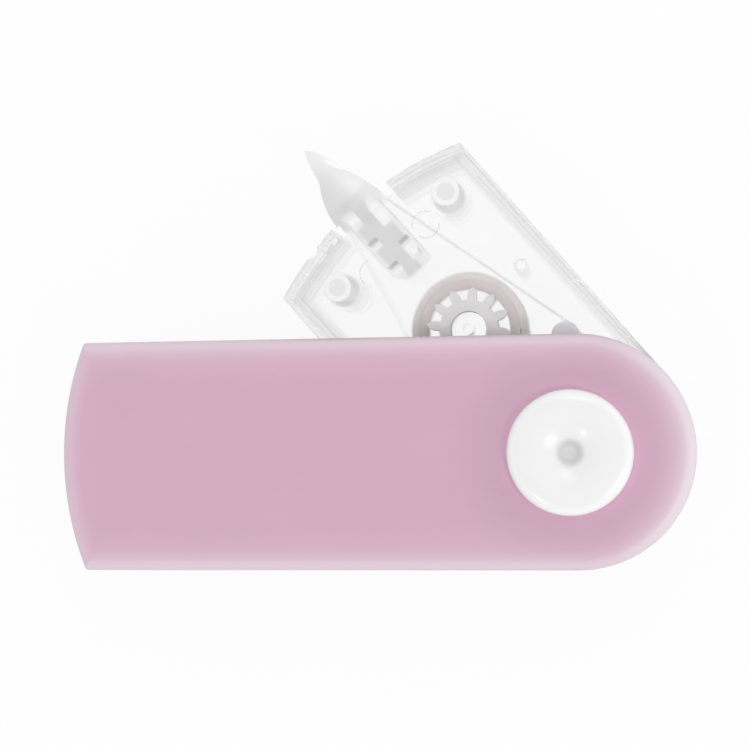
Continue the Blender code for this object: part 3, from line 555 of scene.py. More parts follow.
def joined(name, meshes):
    """Several meshes in one, as parts of a single moulding."""
    shape = bmesh.new()
    for mesh in meshes:
        shape.from_mesh(mesh)
    result = bpy.data.meshes.new(name)
    shape.to_mesh(result)
    shape.free()
    result.shade_smooth()
    result.set_sharp_from_angle(angle=SMOOTH_ANGLE)
    return result


def add_piece(name, mesh, body, surface, stands_for=None, place=None):
    if place is not None:
        mesh.transform(place)
    mesh.materials.clear()
    mesh.materials.append(surface)
    piece = linked(name, mesh)
    flats = piece.modifiers.new("flat faces stay flat", "WEIGHTED_NORMAL")
    flats.keep_sharp = True
    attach(piece, body)
    if stands_for:
        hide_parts(stands_for)


# Finishes

class Finish:
    """A material in the making, with short calls for the nodes that the finishes share."""

    def __init__(self, name, colour, roughness):
        self.surface = bpy.data.materials.new(name)
        self.surface.use_nodes = True
        self.nodes = self.surface.node_tree.nodes
        self.links = self.surface.node_tree.links
        self.shader = self.nodes["Principled BSDF"]
        self.place = self.nodes.new("ShaderNodeTexCoord").outputs["Object"]
        self.colour = (*colour, 1.0)
        self.set("Base Color", self.colour)
        self.set("Roughness", roughness)

    def put(self, node, socket, value):
        if isinstance(value, bpy.types.NodeSocket):
            self.links.new(value, node.inputs[socket])
        else:
            node.inputs[socket].default_value = value

    def set(self, socket, value):
        self.put(self.shader, socket, value)

    def calc(self, operation, first, second=0.0):
        node = self.nodes.new("ShaderNodeMath")
        node.operation = operation
        self.put(node, 0, first)
        self.put(node, 1, second)
        return node.outputs[0]

    plus = functools.partialmethod(calc, "ADD")
    minus = functools.partialmethod(calc, "SUBTRACT")
    times = functools.partialmethod(calc, "MULTIPLY")
    over = functools.partialmethod(calc, "DIVIDE")
    least = functools.partialmethod(calc, "MINIMUM")
    most = functools.partialmethod(calc, "MAXIMUM")

    def split(self, vector):
        node = self.nodes.new("ShaderNodeSeparateXYZ")
        self.put(node, 0, vector)
        return tuple(node.outputs)

    def axes(self):
        return self.split(self.place)

    def cartridge_axes(self):
        """Distances along the cartridge from the pivot, towards its film side, and upwards."""
        turn = self.nodes.new("ShaderNodeMapping")
        turn.vector_type = "TEXTURE"
        self.put(turn, "Location", PIVOT)
        self.put(turn, "Rotation", (0.0, 0.0, math.pi - OPEN_ANGLE))
        self.put(turn, "Vector", self.place)
        return self.split(turn.outputs[0])

    def length(self, x, y):
        return self.calc("SQRT", self.plus(self.times(x, x), self.times(y, y)))

    def nearest(self, along, across, places):
        """The distance to the nearest of some places in the cartridge's axes."""
        spans = [self.length(self.minus(along, x), self.minus(across, y)) for x, y in places]
        return functools.reduce(self.least, spans)

    def noise(self, size, detail=2.0, stretch=None):
        node = self.nodes.new("ShaderNodeTexNoise")
        place = self.place
        if stretch is not None:
            scale = self.nodes.new("ShaderNodeMapping")
            self.put(scale, "Scale", stretch)
            self.put(scale, "Vector", place)
            place = scale.outputs[0]
        self.put(node, "Vector", place)
        self.put(node, "Scale", 1.0 / size)
        self.put(node, "Detail", detail)
        return node.outputs["Fac"]

    def spread(self, value, low, high, start=0.0, end=1.0, kind="LINEAR"):
        """Low to high, as a value goes from its start to its end."""
        node = self.nodes.new("ShaderNodeMapRange")
        node.interpolation_type = kind
        self.put(node, "Value", value)
        self.put(node, "From Min", start)
        self.put(node, "From Max", end)
        self.put(node, "To Min", low)
        self.put(node, "To Max", high)
        return node.outputs[0]

    ease = functools.partialmethod(spread, kind="SMOOTHSTEP")

    def blend(self, factor, first, second, kind="MIX"):
        node = self.nodes.new("ShaderNodeMix")
        node.data_type = "RGBA"
        node.blend_type = kind
        self.put(node, 0, factor)
        self.put(node, 6, first)
        self.put(node, 7, second)
        return node.outputs[2]

    def shade(self, colour, factor):
        """A colour times a grey factor."""
        return self.blend(1.0, colour, factor, "MULTIPLY")

    def tone(self, factor):
        self.set("Base Color", self.shade(self.colour, factor))

    def bump(self, height, depth):
        node = self.nodes.new("ShaderNodeBump")
        self.put(node, "Distance", depth)
        self.put(node, "Height", height)
        self.set("Normal", node.outputs[0])

    def skin(self, gloss, grain):
        """A gloss that varies a little from place to place, and a fine moulded grain."""
        self.set("Roughness", self.spread(self.noise(GLOSS_CLOUDS), *gloss))
        self.bump(self.noise(GRAIN), grain)


def moulded(name, colour, roughness, variation=0.04, grain=0.004 * MM, alpha=1.0):
    """Moulded plastic: slightly uneven colour and gloss, and a fine moulded grain."""
    finish = Finish(name, colour, roughness)
    finish.set("Alpha", alpha)
    cloud = finish.spread(finish.noise(TONE_CLOUDS, 3.0), 1.0 - variation, 1.0 + variation)
    finish.tone(cloud)
    finish.skin((roughness - 0.05, roughness + 0.05), grain)
    return finish.surface


def cover_finish():
    """Milky pink plastic, with painted light along its thin edges and round the cap's seat, and painted
    shadow that deepens the pink round the pivot, where the reels lie behind it.
    """
    finish = Finish("cover_milky_pink", (0.645, 0.392, 0.525), 0.38)
    low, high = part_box("cover_shell")
    x, y, z = finish.axes()
    # Painted light: paler towards the thin edges and paler still at the very brink, as light shows
    # through the translucent plastic
    round_x = finish.most(finish.minus(x, high.x - high.y), 0.0)
    side = finish.minus(high.y, finish.length(round_x, y))
    end_x = finish.least(finish.minus(x, low.x + COVER_END_RADIUS), 0.0)
    end = finish.minus(COVER_END_RADIUS, finish.length(end_x, y))
    face = finish.least(z, finish.minus(high.z, z))
    reach = finish.spread(x, *SIDE_LIGHT_FADE, high.x - SIDE_LIGHT_FADE_RUN, high.x)
    side_light = finish.over(finish.plus(side, face), reach)
    end_light = finish.over(finish.plus(end, face), END_LIGHT_FADE)
    nearest = finish.least(side_light, end_light)
    edge = finish.calc("EXPONENT", finish.times(nearest, -1.0))
    cloud = finish.noise(5.0 * MM, 3.0)
    flow = finish.noise(1.1 * MM, 2.0, (1.0, 3.0, 1.0))
    pink = finish.shade(finish.colour, finish.spread(cloud, 0.97, 1.03))
    pink = finish.shade(pink, finish.spread(flow, 0.985, 1.015))
    # Painted shadow: the pink is deeper round the pivot, where the reels behind the translucent cover
    # shade it
    away = finish.length(finish.minus(x, PIVOT.x), y)
    pink = finish.shade(pink, finish.ease(away, 0.9, 1.0, *PIVOT_PAINTED_SHADOW))
    # Painted light: a paler ring round the cap's seat, which lifts the shade the cap casts on the cover
    seat = finish.over(finish.minus(CAP_RADIUS, away), SEAT_LIGHT_FADE)
    ring = finish.times(finish.calc("EXPONENT", finish.least(seat, 0.0)), 0.35)
    pink = finish.shade(pink, finish.plus(ring, 1.0))
    pale_edge_light = finish.blend(finish.least(edge, 1.0), pink, (0.86, 0.81, 0.84, 1.0))
    brink_light = finish.calc("POWER", finish.least(edge, 1.0), 3.5)
    finish.set("Base Color", finish.blend(brink_light, pale_edge_light, (0.97, 0.965, 0.97, 1.0)))
    finish.set("Roughness", finish.spread(finish.noise(1.4 * MM), 0.32, 0.44))
    finish.bump(finish.noise(0.1 * MM), 0.003 * MM)
    return finish.surface


def cap_finish():
    """Glossy white plastic, with painted light on its rounded rim and painted shade down in the dimple.
    """
    finish = Finish("cap_glossy_white", (0.88, 0.88, 0.885), 0.2)
    x, y = finish.axes()[:2]
    away = finish.length(finish.minus(x, PIVOT.x), finish.minus(y, PIVOT.y))
    # Painted shade down in the dimple and painted light on the rounded rim
    dimple = finish.ease(away, 0.78, 1.0, DIMPLE_FLOOR, DISH_EDGE)
    rim = finish.ease(away, 1.0, 1.08, *CAP_PAINTED_LIGHT_RIM)
    cloud = finish.spread(finish.noise(TONE_CLOUDS, 3.0), 0.99, 1.01)
    shade = finish.times(finish.times(dimple, rim), cloud)
    finish.tone(shade)
    finish.skin((0.17, 0.23), 0.001 * MM)
    return finish.surface


def clear_finish(name):
    """Clear polished plastic, slightly wavy, with painted shade that greys its walls and the plate along
    its rims, where clear plastic looks dark edge-on, except at the mouth and bosses.
    """
    finish = Finish(name, (0.98, 0.98, 0.983), 0.03)
    finish.set("Transmission Weight", 1.0)
    finish.set("IOR", 1.5)
    finish.set("Alpha", 0.5)
    along, across = finish.cartridge_axes()[:2]
    front = finish.minus(finish.length(along, across), RIM_FRONT)
    tape_side = finish.minus(finish.times(across, -1.0), RIM_TAPE_SIDE)
    film_side = finish.minus(across, RIM_FILM_SIDE)
    sides = finish.most(tape_side, film_side)
    # Painted shade along the plate's rims, lighter at the mouth
    side_rim_shade = finish.ease(sides, 0.0, 1.0, 0.0, RIM_SHADE_FADE)
    front_rim_shade = finish.ease(front, 0.0, 1.0, 0.0, RIM_SHADE_FADE)
    off_mouth = finish.calc("ABSOLUTE", finish.minus(across, MOUTH_MIDDLE))
    beside = finish.spread(off_mouth, 1.0, 0.0, MOUTH_HALF, MOUTH_HALF + MOUTH_FADE)
    ahead = finish.spread(along, 0.0, 1.0, MOUTH_DEPTH - MOUTH_FADE, MOUTH_DEPTH)
    mouth = finish.times(beside, ahead)
    front_rim_shade = finish.minus(front_rim_shade, finish.times(front_rim_shade, mouth))
    flat = finish.blend(side_rim_shade, finish.colour, (0.85, 0.85, 0.855, 1.0))
    flat = finish.blend(front_rim_shade, flat, (0.74, 0.74, 0.745, 1.0))
    flat = finish.blend(mouth, flat, (0.95, 0.95, 0.955, 1.0))
    # Painted shade on the upright walls, lighter at the mouth and bosses
    facing = finish.nodes.new("ShaderNodeTexCoord").outputs["Normal"]
    level = finish.calc("ABSOLUTE", finish.split(facing)[2])
    at_boss = finish.spread(finish.nearest(along, across, BOSSES), 1.0, 0.0, *BOSS_REACH)
    bright = finish.most(mouth, at_boss)
    wall = finish.blend(bright, (0.42, 0.42, 0.43, 1.0), (0.93, 0.93, 0.935, 1.0))
    wall_and_rim_shade = finish.blend(finish.spread(level, 0.0, 1.0, 0.3, 0.9), wall, flat)
    cloud = finish.noise(6.0 * MM)
    finish.set("Base Color", finish.shade(wall_and_rim_shade, finish.spread(cloud, 0.985, 1.0)))
    finish.set("Roughness", finish.spread(finish.noise(2.0 * MM), 0.015, 0.05))
    finish.bump(finish.noise(2.5 * MM, 1.0), 0.01 * MM)
    return finish.surface


def pin_finish():
    """Frosted plastic, greyer below, with a painted highlight that whitens it where it rises over the
    plate.
    """
    finish = Finish("casing_pin_frosted", (0.8, 0.8, 0.805), 0.4)
    up = finish.axes()[2]
    # Painted highlight on the rim over the plate
    rim = finish.spread(up, 0.0, 1.0, *PIN_HIGHLIGHT)
    cloud = finish.spread(finish.noise(1.2 * MM, 3.0), 0.97, 1.03)
    tone = finish.blend(rim, finish.colour, (0.9, 0.9, 0.9, 1.0))
    finish.set("Base Color", finish.shade(tone, cloud))
    finish.skin((0.35, 0.45), 0.002 * MM)
    return finish.surface


def head_finish():
    """Satin white plastic, with painted light and shade: lighter rails and tip and a painted light spot
    on the tape side of the beak, painted shade along the web and on the beak's film side.
    """
    finish = Finish("head_satin_white", (0.9, 0.9, 0.905), 0.34)
    along, across = finish.cartridge_axes()[:2]
    beak = finish.ease(along, 0.0, 1.0, *BEAK_TONE)
    # Painted shade on the beak's film side, fading towards the tip
    film_side_shade = finish.ease(across, 0.0, 0.135, *FILM_SIDE_SHADE)
    tip = finish.ease(along, 1.0, 0.35, *TIP_LIGHT)
    grey = finish.times(finish.times(beak, film_side_shade), tip)
    # Painted light: a bright spot by the tape where it stands off the beak
    ahead = finish.minus(along, WING_LIGHT_AT[0])
    slant = finish.times(ahead, WING_LIGHT_SLOPE)
    beside = finish.minus(finish.minus(across, WING_LIGHT_AT[1]), slant)
    ahead = finish.over(ahead, WING_LIGHT_REACH[0])
    reach = finish.length(ahead, finish.over(beside, WING_LIGHT_REACH[1]))
    wing_light = finish.ease(reach, 0.2, 0.0, 0.3, 1.0)
    # Painted light and shade on the stem: lighter rails and ends, a darker web and a darker film-side
    # edge
    middle = (STEM_FILM_SIDE - STEM_TAPE_SIDE) / 2
    off_middle = finish.calc("ABSOLUTE", finish.minus(across, middle))
    off_centre = finish.calc("ABSOLUTE", finish.minus(along, STEM_CENTRE))
    ends = finish.ease(off_centre, 0.0, 1.0, *STEM_ENDS)
    sides = finish.ease(off_middle, 0.0, 1.0, *STEM_WEB_EDGE)
    rails = finish.ease(off_middle, 0.0, 1.0, *STEM_RAIL_LIGHT)
    pale = finish.most(rails, finish.times(ends, sides))
    web = finish.ease(along, -0.11, -0.14, *STEM_WEB_SHADE)
    stem = finish.plus(web, finish.times(pale, 0.21))
    inside = finish.ease(across, 0.0, -0.14, *STEM_INSIDE_SHADE)
    stem = finish.plus(stem, inside)
    stem = finish.times(stem, finish.minus(1.0, beak))
    cloud = finish.spread(finish.noise(TONE_CLOUDS, 3.0), 0.985, 1.015)
    light = finish.plus(finish.plus(1.0, wing_light), stem)
    shade = finish.times(finish.minus(light, grey), cloud)
    finish.tone(shade)
    finish.skin((0.29, 0.39), 0.004 * MM)
    return finish.surface


def tape_finish(name, colour, alpha):
    """Matt coated tape on thin film, with faint streaks along its length."""
    finish = Finish(name, colour, 0.62)
    finish.set("Alpha", alpha)
    streaks = finish.noise(0.35 * MM, 2.0, (1.0, 1.0, 6.0))
    finish.tone(finish.spread(streaks, 0.95, 1.02))
    finish.set("Roughness", finish.spread(streaks, 0.55, 0.7))
    finish.bump(finish.noise(0.08 * MM), 0.002 * MM)
    return finish.surface


def film_finish(name, colour, alpha, clearness):
    """Bare film with a satin sheen that still holds a trace of the coating."""
    finish = Finish(name, colour, 0.3)
    finish.set("Transmission Weight", clearness)
    finish.set("IOR", 1.2)
    finish.set("Alpha", alpha)
    trace = finish.noise(0.5 * MM, 3.0, (1.0, 1.0, 0.4))
    warm = (colour[0], colour[1] * 0.93, colour[2] * 0.92, 1.0)
    warmth = finish.spread(trace, 0.0, 1.0, 0.35, 0.7)
    finish.set("Base Color", finish.blend(warmth, finish.colour, warm))
    finish.set("Roughness", finish.spread(trace, 0.22, 0.4))
    finish.bump(trace, 0.002 * MM)
    return finish.surface


def rubber_finish():
    finish = Finish("washer_dark_rubber", (0.05, 0.05, 0.053), 0.7)
    speck = finish.noise(0.15 * MM, 3.0)
    finish.tone(finish.spread(speck, 0.7, 1.3))
    finish.set("Roughness", finish.spread(speck, 0.6, 0.8))
    finish.bump(speck, 0.006 * MM)
    return finish.surface


# Pieces of the cover

def make_cover():
    low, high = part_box("cover_shell")
    rise = []
    fall = []
    for turn in quarter_angles(CURVE_STEPS):
        off_cosine = COVER_EDGE_ROUND * (1.0 - math.cos(turn))
        off_sine = COVER_EDGE_ROUND * (1.0 - math.sin(turn))
        rise.append([(x, y, low.z + off_cosine) for x, y in cover_outline(off_sine)])
        fall.append([(x, y, high.z - off_sine) for x, y in cover_outline(off_cosine)])
    body = loft("cover_body", rise + fall)
    centre = PIVOT.to_2d()
    below = low.z - COVER_PLATE
    above = high.z + COVER_PLATE
    slot = prism("cover_slot", slot_outline(), *COVER_SLOT)
    hole = prism("cover_hole", circle(centre, STEM_HOLE, SMALL_STEPS), below, above)
    recess = prism("cover_recess", circle(centre, REAR_RECESS[0], ROUND_STEPS), below, REAR_RECESS[1])
    body = softened(carved(body, [slot, hole, recess]), COVER_INNER_ROUND, 2, 60.0)
    add_piece("swivel_cover", body, "cover", cover_finish(), "cover_shell")


def cap_crown():
    """(radius, height) points from the dimple's floor up the dished crown to just inside its ridge."""
    ridge, top = CAP_RIDGE
    points = []
    for step in range(CAP_CROWN_STEPS):
        radius = ridge * step / CAP_CROWN_STEPS
        dish = DISH_DEPTH * ((ridge - max(radius, DIMPLE_FLOOR)) / (ridge - DISH_EDGE)) ** 2
        hole = DIMPLE_DEPTH * (1.0 - eased(radius, DIMPLE_FLOOR, DISH_EDGE))
        bowl = DIMPLE_BOWL * (1.0 - min(radius / DIMPLE_FLOOR, 1.0) ** 2)
        points.append((radius, top - dish - hole - bowl))
    return points


def cap_rim():
    """(radius, height) points from the ridge of the crown over the rounded rim and down to its side."""
    ridge, top = CAP_RIDGE
    low = CAP_SEAT + CAP_RIM_HEIGHT
    points = []
    for turn in quarter_angles(CAP_RIM_STEPS):
        out = math.sin(turn) ** (2.0 / CAP_RIM_POWER)
        rise = max(math.cos(turn), 0.0) ** (2.0 / CAP_RIM_POWER)
        points.append((ridge + (CAP_RADIUS - ridge) * out, low + (top - low) * rise))
    return points


def make_caps():
    profile = cap_crown() + cap_rim()
    profile += [(CAP_RADIUS, CAP_SEAT + CAP_FOOT), (CAP_RADIUS - CAP_FOOT, CAP_SEAT)]
    profile += [(STEM_RADIUS, CAP_SEAT), (STEM_RADIUS, STEM_END), (0.0, STEM_END)]
    cap = lathe("cap_mesh", profile, PIVOT.to_2d())
    add_piece("pivot_cap", cap, "cover", cap_finish(), "pivot_cap_front")
    edge = (REAR_CAP_RADIUS - REAR_CAP_ROUND, REAR_CAP_LOW + REAR_CAP_ROUND)
    under = [(0.0, REAR_CAP_HIGH), (REAR_CAP_RADIUS, REAR_CAP_HIGH)]
    under += arc(edge, REAR_CAP_ROUND, 2 * math.pi, 1.5 * math.pi, CURVE_STEPS) + [(0.0, REAR_CAP_LOW)]
    rear_white = moulded("rear_cap_glossy_white", (0.85, 0.85, 0.855), 0.28, 0.02, 0.001 * MM)
    rear = lathe("rear_cap_mesh", under, PIVOT.to_2d())
    add_piece("pivot_rear_cap", rear, "cover", rear_white, "pivot_cap_rear")


# Pieces of the cartridge

def tongue_mesh(sides, outer, inner):
    """A tongue of a casing plate, which reaches out over the head's root and thins towards its nose."""
    near, far = sides
    radius = FRONT_RADIUS - TONGUE_INSET
    nose = arc((0.0, 0.0), radius, math.asin(near / radius), math.asin(far / radius), CURVE_STEPS)
    outline = [(TONGUE_ROOT, far), (TONGUE_ROOT, near)] + nose
    thinned = (outer - inner) * (1.0 - TONGUE_NOSE)
    face = [(x, y, inner + thinned * eased(x, TONGUE_ROOT, radius)) for x, y in outline]
    tongue = loft("tongue", [[(x, y, outer) for x, y in outline], face])
    tongue.transform(CARTRIDGE)
    return tongue


def pin_profile():
    """A frosted plug in a boss's bore, with a thin white rim that lies on the plate round the bore as a
    painted highlight.
    """
    rim, thick = PIN_RIM
    profile = [(0.0, PIN_LOW), (PIN_RADIUS, PIN_LOW), (PIN_RADIUS, ON_PLATE), (rim, ON_PLATE)]
    profile += [(rim - thick, ON_PLATE + thick), (PIN_RADIUS + 2 * thick, ON_PLATE + thick)]
    return profile + [(PIN_RADIUS + thick, PIN_FACE), (0.0, PIN_FACE)]


def ring_profile(inner, outer, low, high):
    return [(inner, low), (outer, low), (outer, high), (inner, high)]


def boss_rings(place):
    """Thin faint grey rings in a boss, as painted shade in its socket: one at the socket's mouth and one
    further down.
    """
    rings = []
    for outer, low in BOSS_RINGS:
        profile = ring_profile(BOSS_RING_BORE, outer, low, low + BOSS_RING_HEIGHT)
        rings.append(lathe("boss_ring", profile, place, SMALL_STEPS))
    return joined("boss_rings", rings)


def bump_profile(radius):
    """A low dome on the plate, where the casing's front wall has its notch."""
    profile = [(0.0, ON_PLATE)]
    for turn in quarter_angles(BUMP_STEPS)[:-1]:
        profile.append((radius * math.cos(turn), ON_PLATE + BUMP_HEIGHT * math.sin(turn)))
    return profile + [(0.0, ON_PLATE + BUMP_HEIGHT)]


def add_detail(name, mesh, surface):
    """A small piece of the casing, drawn in the cartridge's axes."""
    add_piece(name, mesh, "cartridge", surface, None, CARTRIDGE)


def make_casing():
    tongues = {
        "casing_front": tongue_mesh(FRONT_TONGUE, PLATE_TOP, CEILING),
        "casing_rear": tongue_mesh(REAR_TONGUE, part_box("casing_rear")[0].z, CASING_FLOOR),
    }
    for node, tongue in tongues.items():
        shell = flattened(combined(node_copy(node), [tongue], "UNION"))
        clear = clear_finish(node + "_clear_plastic")
        add_piece(node + "_shell", shell, "cartridge", clear, node)


def make_bosses():
    pin = pin_finish()
    # Faint grey rings as painted shade in the bosses
    frosted = moulded("casing_boss_frosted", (0.6, 0.6, 0.605), 0.5, alpha=0.1)
    for index, place in enumerate(BOSSES):
        plug = lathe("pin_mesh", pin_profile(), place, SMALL_STEPS)
        add_detail("casing_pin_%d" % index, plug, pin)
        add_detail("casing_boss_%d" % index, boss_rings(place), frosted)


def make_bumps():
    # White domes as painted glints, where the wall's notch catches the light
    white = moulded("casing_bump_frosted", (0.97, 0.97, 0.97), 0.25, 0.02, alpha=0.75)
    for index, (place, radius) in enumerate(GLINT_BUMPS):
        bump = lathe("bump_mesh", bump_profile(radius), place, SMALL_STEPS // 2)
        add_detail("casing_bump_%d" % index, bump, white)


def make_post_ring():
    # A faint grey ring as painted shade round the post, seen through the plate
    grey = moulded("casing_post_painted_shade", (0.6, 0.6, 0.605), 0.4, alpha=0.1)
    ring = lathe("post_mesh", ring_profile(*POST_RING, *POST_RING_SPAN), POST_AT, SMALL_STEPS)
    add_detail("casing_post_ring", ring, grey)


def make_seams():
    line = moulded("casing_seam_grey", (0.4, 0.4, 0.405), 0.4, alpha=0.13)
    for index, path in enumerate((SEAM_SIDE, arc((0.0, 0.0), *SEAM_FRONT, SMALL_STEPS // 2))):
        seam = strip("seam_strip", path, SEAM_WIDTH, *SEAM_HEIGHT)
        add_detail("casing_seam_%d" % index, seam, line)


def make_marks():
    mark = moulded("casing_marks_grey", (0.72, 0.72, 0.725), 0.3, alpha=0.25)
    for index, (place, sweeps) in enumerate((TAPE_SIDE_MARK, FILM_SIDE_MARK)):
        bits = []
        for start, end in sweeps:
            path = arc(place, MARK_RADIUS, math.radians(start), math.radians(end), SMALL_STEPS // 2)
            bits.append(strip("mark_bit", path, MARK_WIRE, MARK_TOP - MARK_WIRE, MARK_TOP))
        add_detail("casing_mark_%d" % index, joined("mark_ring", bits), mark)


def box(name, x0, x1, y0, y1, low, high):
    return prism(name, [(x0, y0), (x1, y0), (x1, y1), (x0, y1)], low, high)


def stem_mesh():
    """The head's stem: a web between two rails, joined by a windowed deck at the front."""
    cut = STEM_CHAMFER
    near = -STEM_TAPE_SIDE
    far = STEM_FILM_SIDE
    off_x, off_y = STEM_FILM_CHAMFER
    outline = [(STEM_TAIL_X, far - off_y), (STEM_TAIL_X, near + cut), (STEM_TAIL_X + cut, near)]
    outline += [(STEM_ROOT, near), (STEM_ROOT, far), (STEM_TAIL_X + off_x, far)]
    tape_side = (near + STEM_RAIL, -STEM_WEB_TAPE_SIDE)
    film_side = (-STEM_WEB_FILM_SIDE, far - STEM_RAIL)
    below = HEAD_LOW - BEAK_CHEEK
    above = HEAD_HIGH + BEAK_CHEEK
    deck = HEAD_HIGH - STEM_DECK
    under = STEM_UNDERCUT
    cutters = [
        box("tape_pocket", *STEM_POCKET, tape_side[0], tape_side[1] + under, below, deck),
        box("film_pocket", *STEM_POCKET, film_side[0] - under, far + cut, below, deck),
        box("heel", STEM_TAIL_X - cut, STEM_HEEL, near - cut, far + cut, below, deck),
    ]
    cutters += [box("window", *span, *tape_side, below, above) for span in STEM_TAPE_WINDOWS]
    cutters += [box("window", *span, *film_side, below, above) for span in STEM_FILM_WINDOWS]
    parts = [carved(prism("stem", outline, HEAD_LOW, HEAD_HIGH), cutters)]
    thick, deep = STEM_RIB
    span = (HEAD_HIGH - deep, HEAD_HIGH - STEM_DECK / 2)
    ribs = [(STEM_TAPE_WINDOWS[0], tape_side)]
    ribs += [(window, film_side) for window in STEM_FILM_WINDOWS[:2]]
    for window, side in ribs:
        parts.append(box("rib", window[1], window[1] + thick, *side, *span))
    for side in (SHOULDER_TAPE_SIDE, SHOULDER_FILM_SIDE):
        parts.append(box("shoulder", *SHOULDER_SPAN, *side, *SHOULDER_HEIGHT))
    return joined("stem_ribbed", parts)


def blade_mesh():
    """The blade under the tape, which comes to a blunt tip."""
    upper = offset_path(beak_edge(TAPE_EDGE, -BEAK_TAPE_SIDE), BLADE_INSET)
    lower = offset_path(beak_edge(FILM_EDGE, BEAK_FILM_SIDE), -BLADE_INSET)
    start = BEAK_BASE + BEAK_SLANT
    end = BLADE_TIP - BLADE_NOSE
    upper = [(x, y) for x, y in upper if start < x < end]
    lower = [(x, y) for x, y in lower if start < x < end]
    return prism("blade", upper + [(BLADE_TIP, -BEAK_TIP_SHIFT)] + lower[::-1], HEAD_LOW, HEAD_HIGH)


def eased(value, low, high):
    """0 at the low end and 1 at the high end, with a smooth rise between."""
    share = min(max((value - low) / (high - low), 0.0), 1.0)
    return share * share * (3.0 - 2.0 * share)


def cheek_mesh(inner, outward, start):
    """A guide cheek: a ridge that rises from the casing's mouth and runs out along the blade."""
    upper = beak_edge(CHEEK_TAPE_EDGE, -BEAK_TAPE_SIDE)
    lower = beak_edge(CHEEK_FILM_EDGE, BEAK_FILM_SIDE)
    end = upper[-1][0]
    widest = BEAK_TAPE_SIDE + BEAK_FILM_SIDE
    rings = []
    for step in range(CHEEK_STEPS + 1):
        x = start + (end - start) * step / CHEEK_STEPS
        near = height_at(upper, x)
        far = height_at(lower, x)
        rise = CHEEK_RAMP_LOW + (1.0 - CHEEK_RAMP_LOW) * eased(x, start, start + CHEEK_RAMP)
        rise *= 1.0 - CHEEK_FADED * eased(x, *CHEEK_FADE)
        rim = inner + outward * CHEEK_RIM * rise
        crown = (BEAK_CHEEK - CHEEK_RIM) * rise * math.sqrt((far - near) / widest)
        ring = [(x, near, inner - outward * CHEEK_RIM), (x, near, rim)]
        for part in range(1, CHEEK_STEPS_ACROSS):
            share = part / CHEEK_STEPS_ACROSS
            bent = share ** (math.log(0.5) / math.log(CHEEK_RIDGE))
            lift = crown * math.sin(math.pi * bent)
            ring.append((x, near + (far - near) * share, rim + outward * lift))
        rings.append(ring + [(x, far, rim), (x, far, inner - outward * CHEEK_RIM)])
    return loft("cheek", rings)


def make_head():
    stem = softened(stem_mesh(), FINE_ROUND)
    blade = softened(blade_mesh(), FINE_ROUND)
    front = cheek_mesh(HEAD_HIGH, 1.0, BEAK_BASE)
    rear = cheek_mesh(HEAD_LOW, -1.0, BEAK_BASE + BEAK_SLANT)
    head = joined("head_mesh", [stem, blade, front, rear])
    add_piece("applicator_head", head, "cartridge", head_finish(), "tape_head", CARTRIDGE)


def make_runs():
    tape = strip("tape_strip", tape_route(), STRIP_THICKNESS, TAPE_LOW, TAPE_HIGH)
    white = tape_finish("tape_coated_white", (0.95, 0.95, 0.945), 0.22)
    add_piece("fresh_tape", tape, "cartridge", white, "supply_tape", CARTRIDGE)
    film = strip("film_strip", film_route(), FILM_THICKNESS, TAPE_LOW, TAPE_HIGH)
    bare = film_finish("film_bare", (0.85, 0.85, 0.84), 0.08, 0.6)
    add_piece("bare_film", film, "cartridge", bare, "used_film", CARTRIDGE)


def make_supply_reel():
    inner = SUPPLY_CORE_RADIUS + WINDING_GAP + STRIP_THICKNESS / 2
    outer = SUPPLY_TAPE_RADIUS - STRIP_THICKNESS / 2
    path = winding(PIVOT, inner, outer, TAPE_TURNS)
    roll = strip("tape_winding", path, STRIP_THICKNESS, TAPE_LOW, TAPE_HIGH)
    white = tape_finish("tape_roll_coated_white", (0.88, 0.88, 0.87), 1.0)
    add_piece("wound_tape", roll, "supply_reel", white, "supply_tape_roll")
    pale = moulded("supply_core_satin_white", (0.78, 0.78, 0.78), 0.4)
    core = softened(node_copy("supply_core"), WIDE_ROUND)
    add_piece("supply_spool", core, "supply_reel", pale, "supply_core")


def make_supply_drive():
    gear_white = moulded("supply_gear_satin_white", (0.76, 0.76, 0.76), 0.4)
    gear = softened(node_copy("supply_gear"), GEAR_ROUND)
    add_piece("supply_gear_wheel", gear, "supply_drive", gear_white, "supply_gear")
    washer = softened(node_copy("clutch_washer"), FINE_ROUND)
    add_piece("friction_washer", washer, "supply_drive", rubber_finish(), "clutch_washer")


def make_idler():
    idler_white = moulded("idler_satin_white", (0.76, 0.76, 0.76), 0.4)
    idler = softened(node_copy("idler_gear"), GEAR_ROUND)
    add_piece("idler_wheel", idler, "idler", idler_white, "idler_gear")


def ring_mesh(name, radii, low, high):
    return lathe(name, ring_profile(*radii, low, high), TAKE_UP)


def hollow_mesh():
    """The room inside the take-up reel, behind its spokes."""
    return ring_mesh("spool_hollow", SPOOL_HOLLOW, CASING_FLOOR, TAPE_HIGH - SPOKE_HEIGHT)


def spool_mesh():
    """The take-up spool: a thin tube with a lip at the front, on short spokes round its hub ring."""
    tube = softened(carved(node_copy("take_up_core"), [hollow_mesh()]), GEAR_ROUND)
    lip = ring_mesh("spool_lip", SPOOL_LIP, TAPE_HIGH - SPOKE_HEIGHT / 2, SPOOL_LIP_TOP)
    return joined("spool_lipped", [tube, lip])


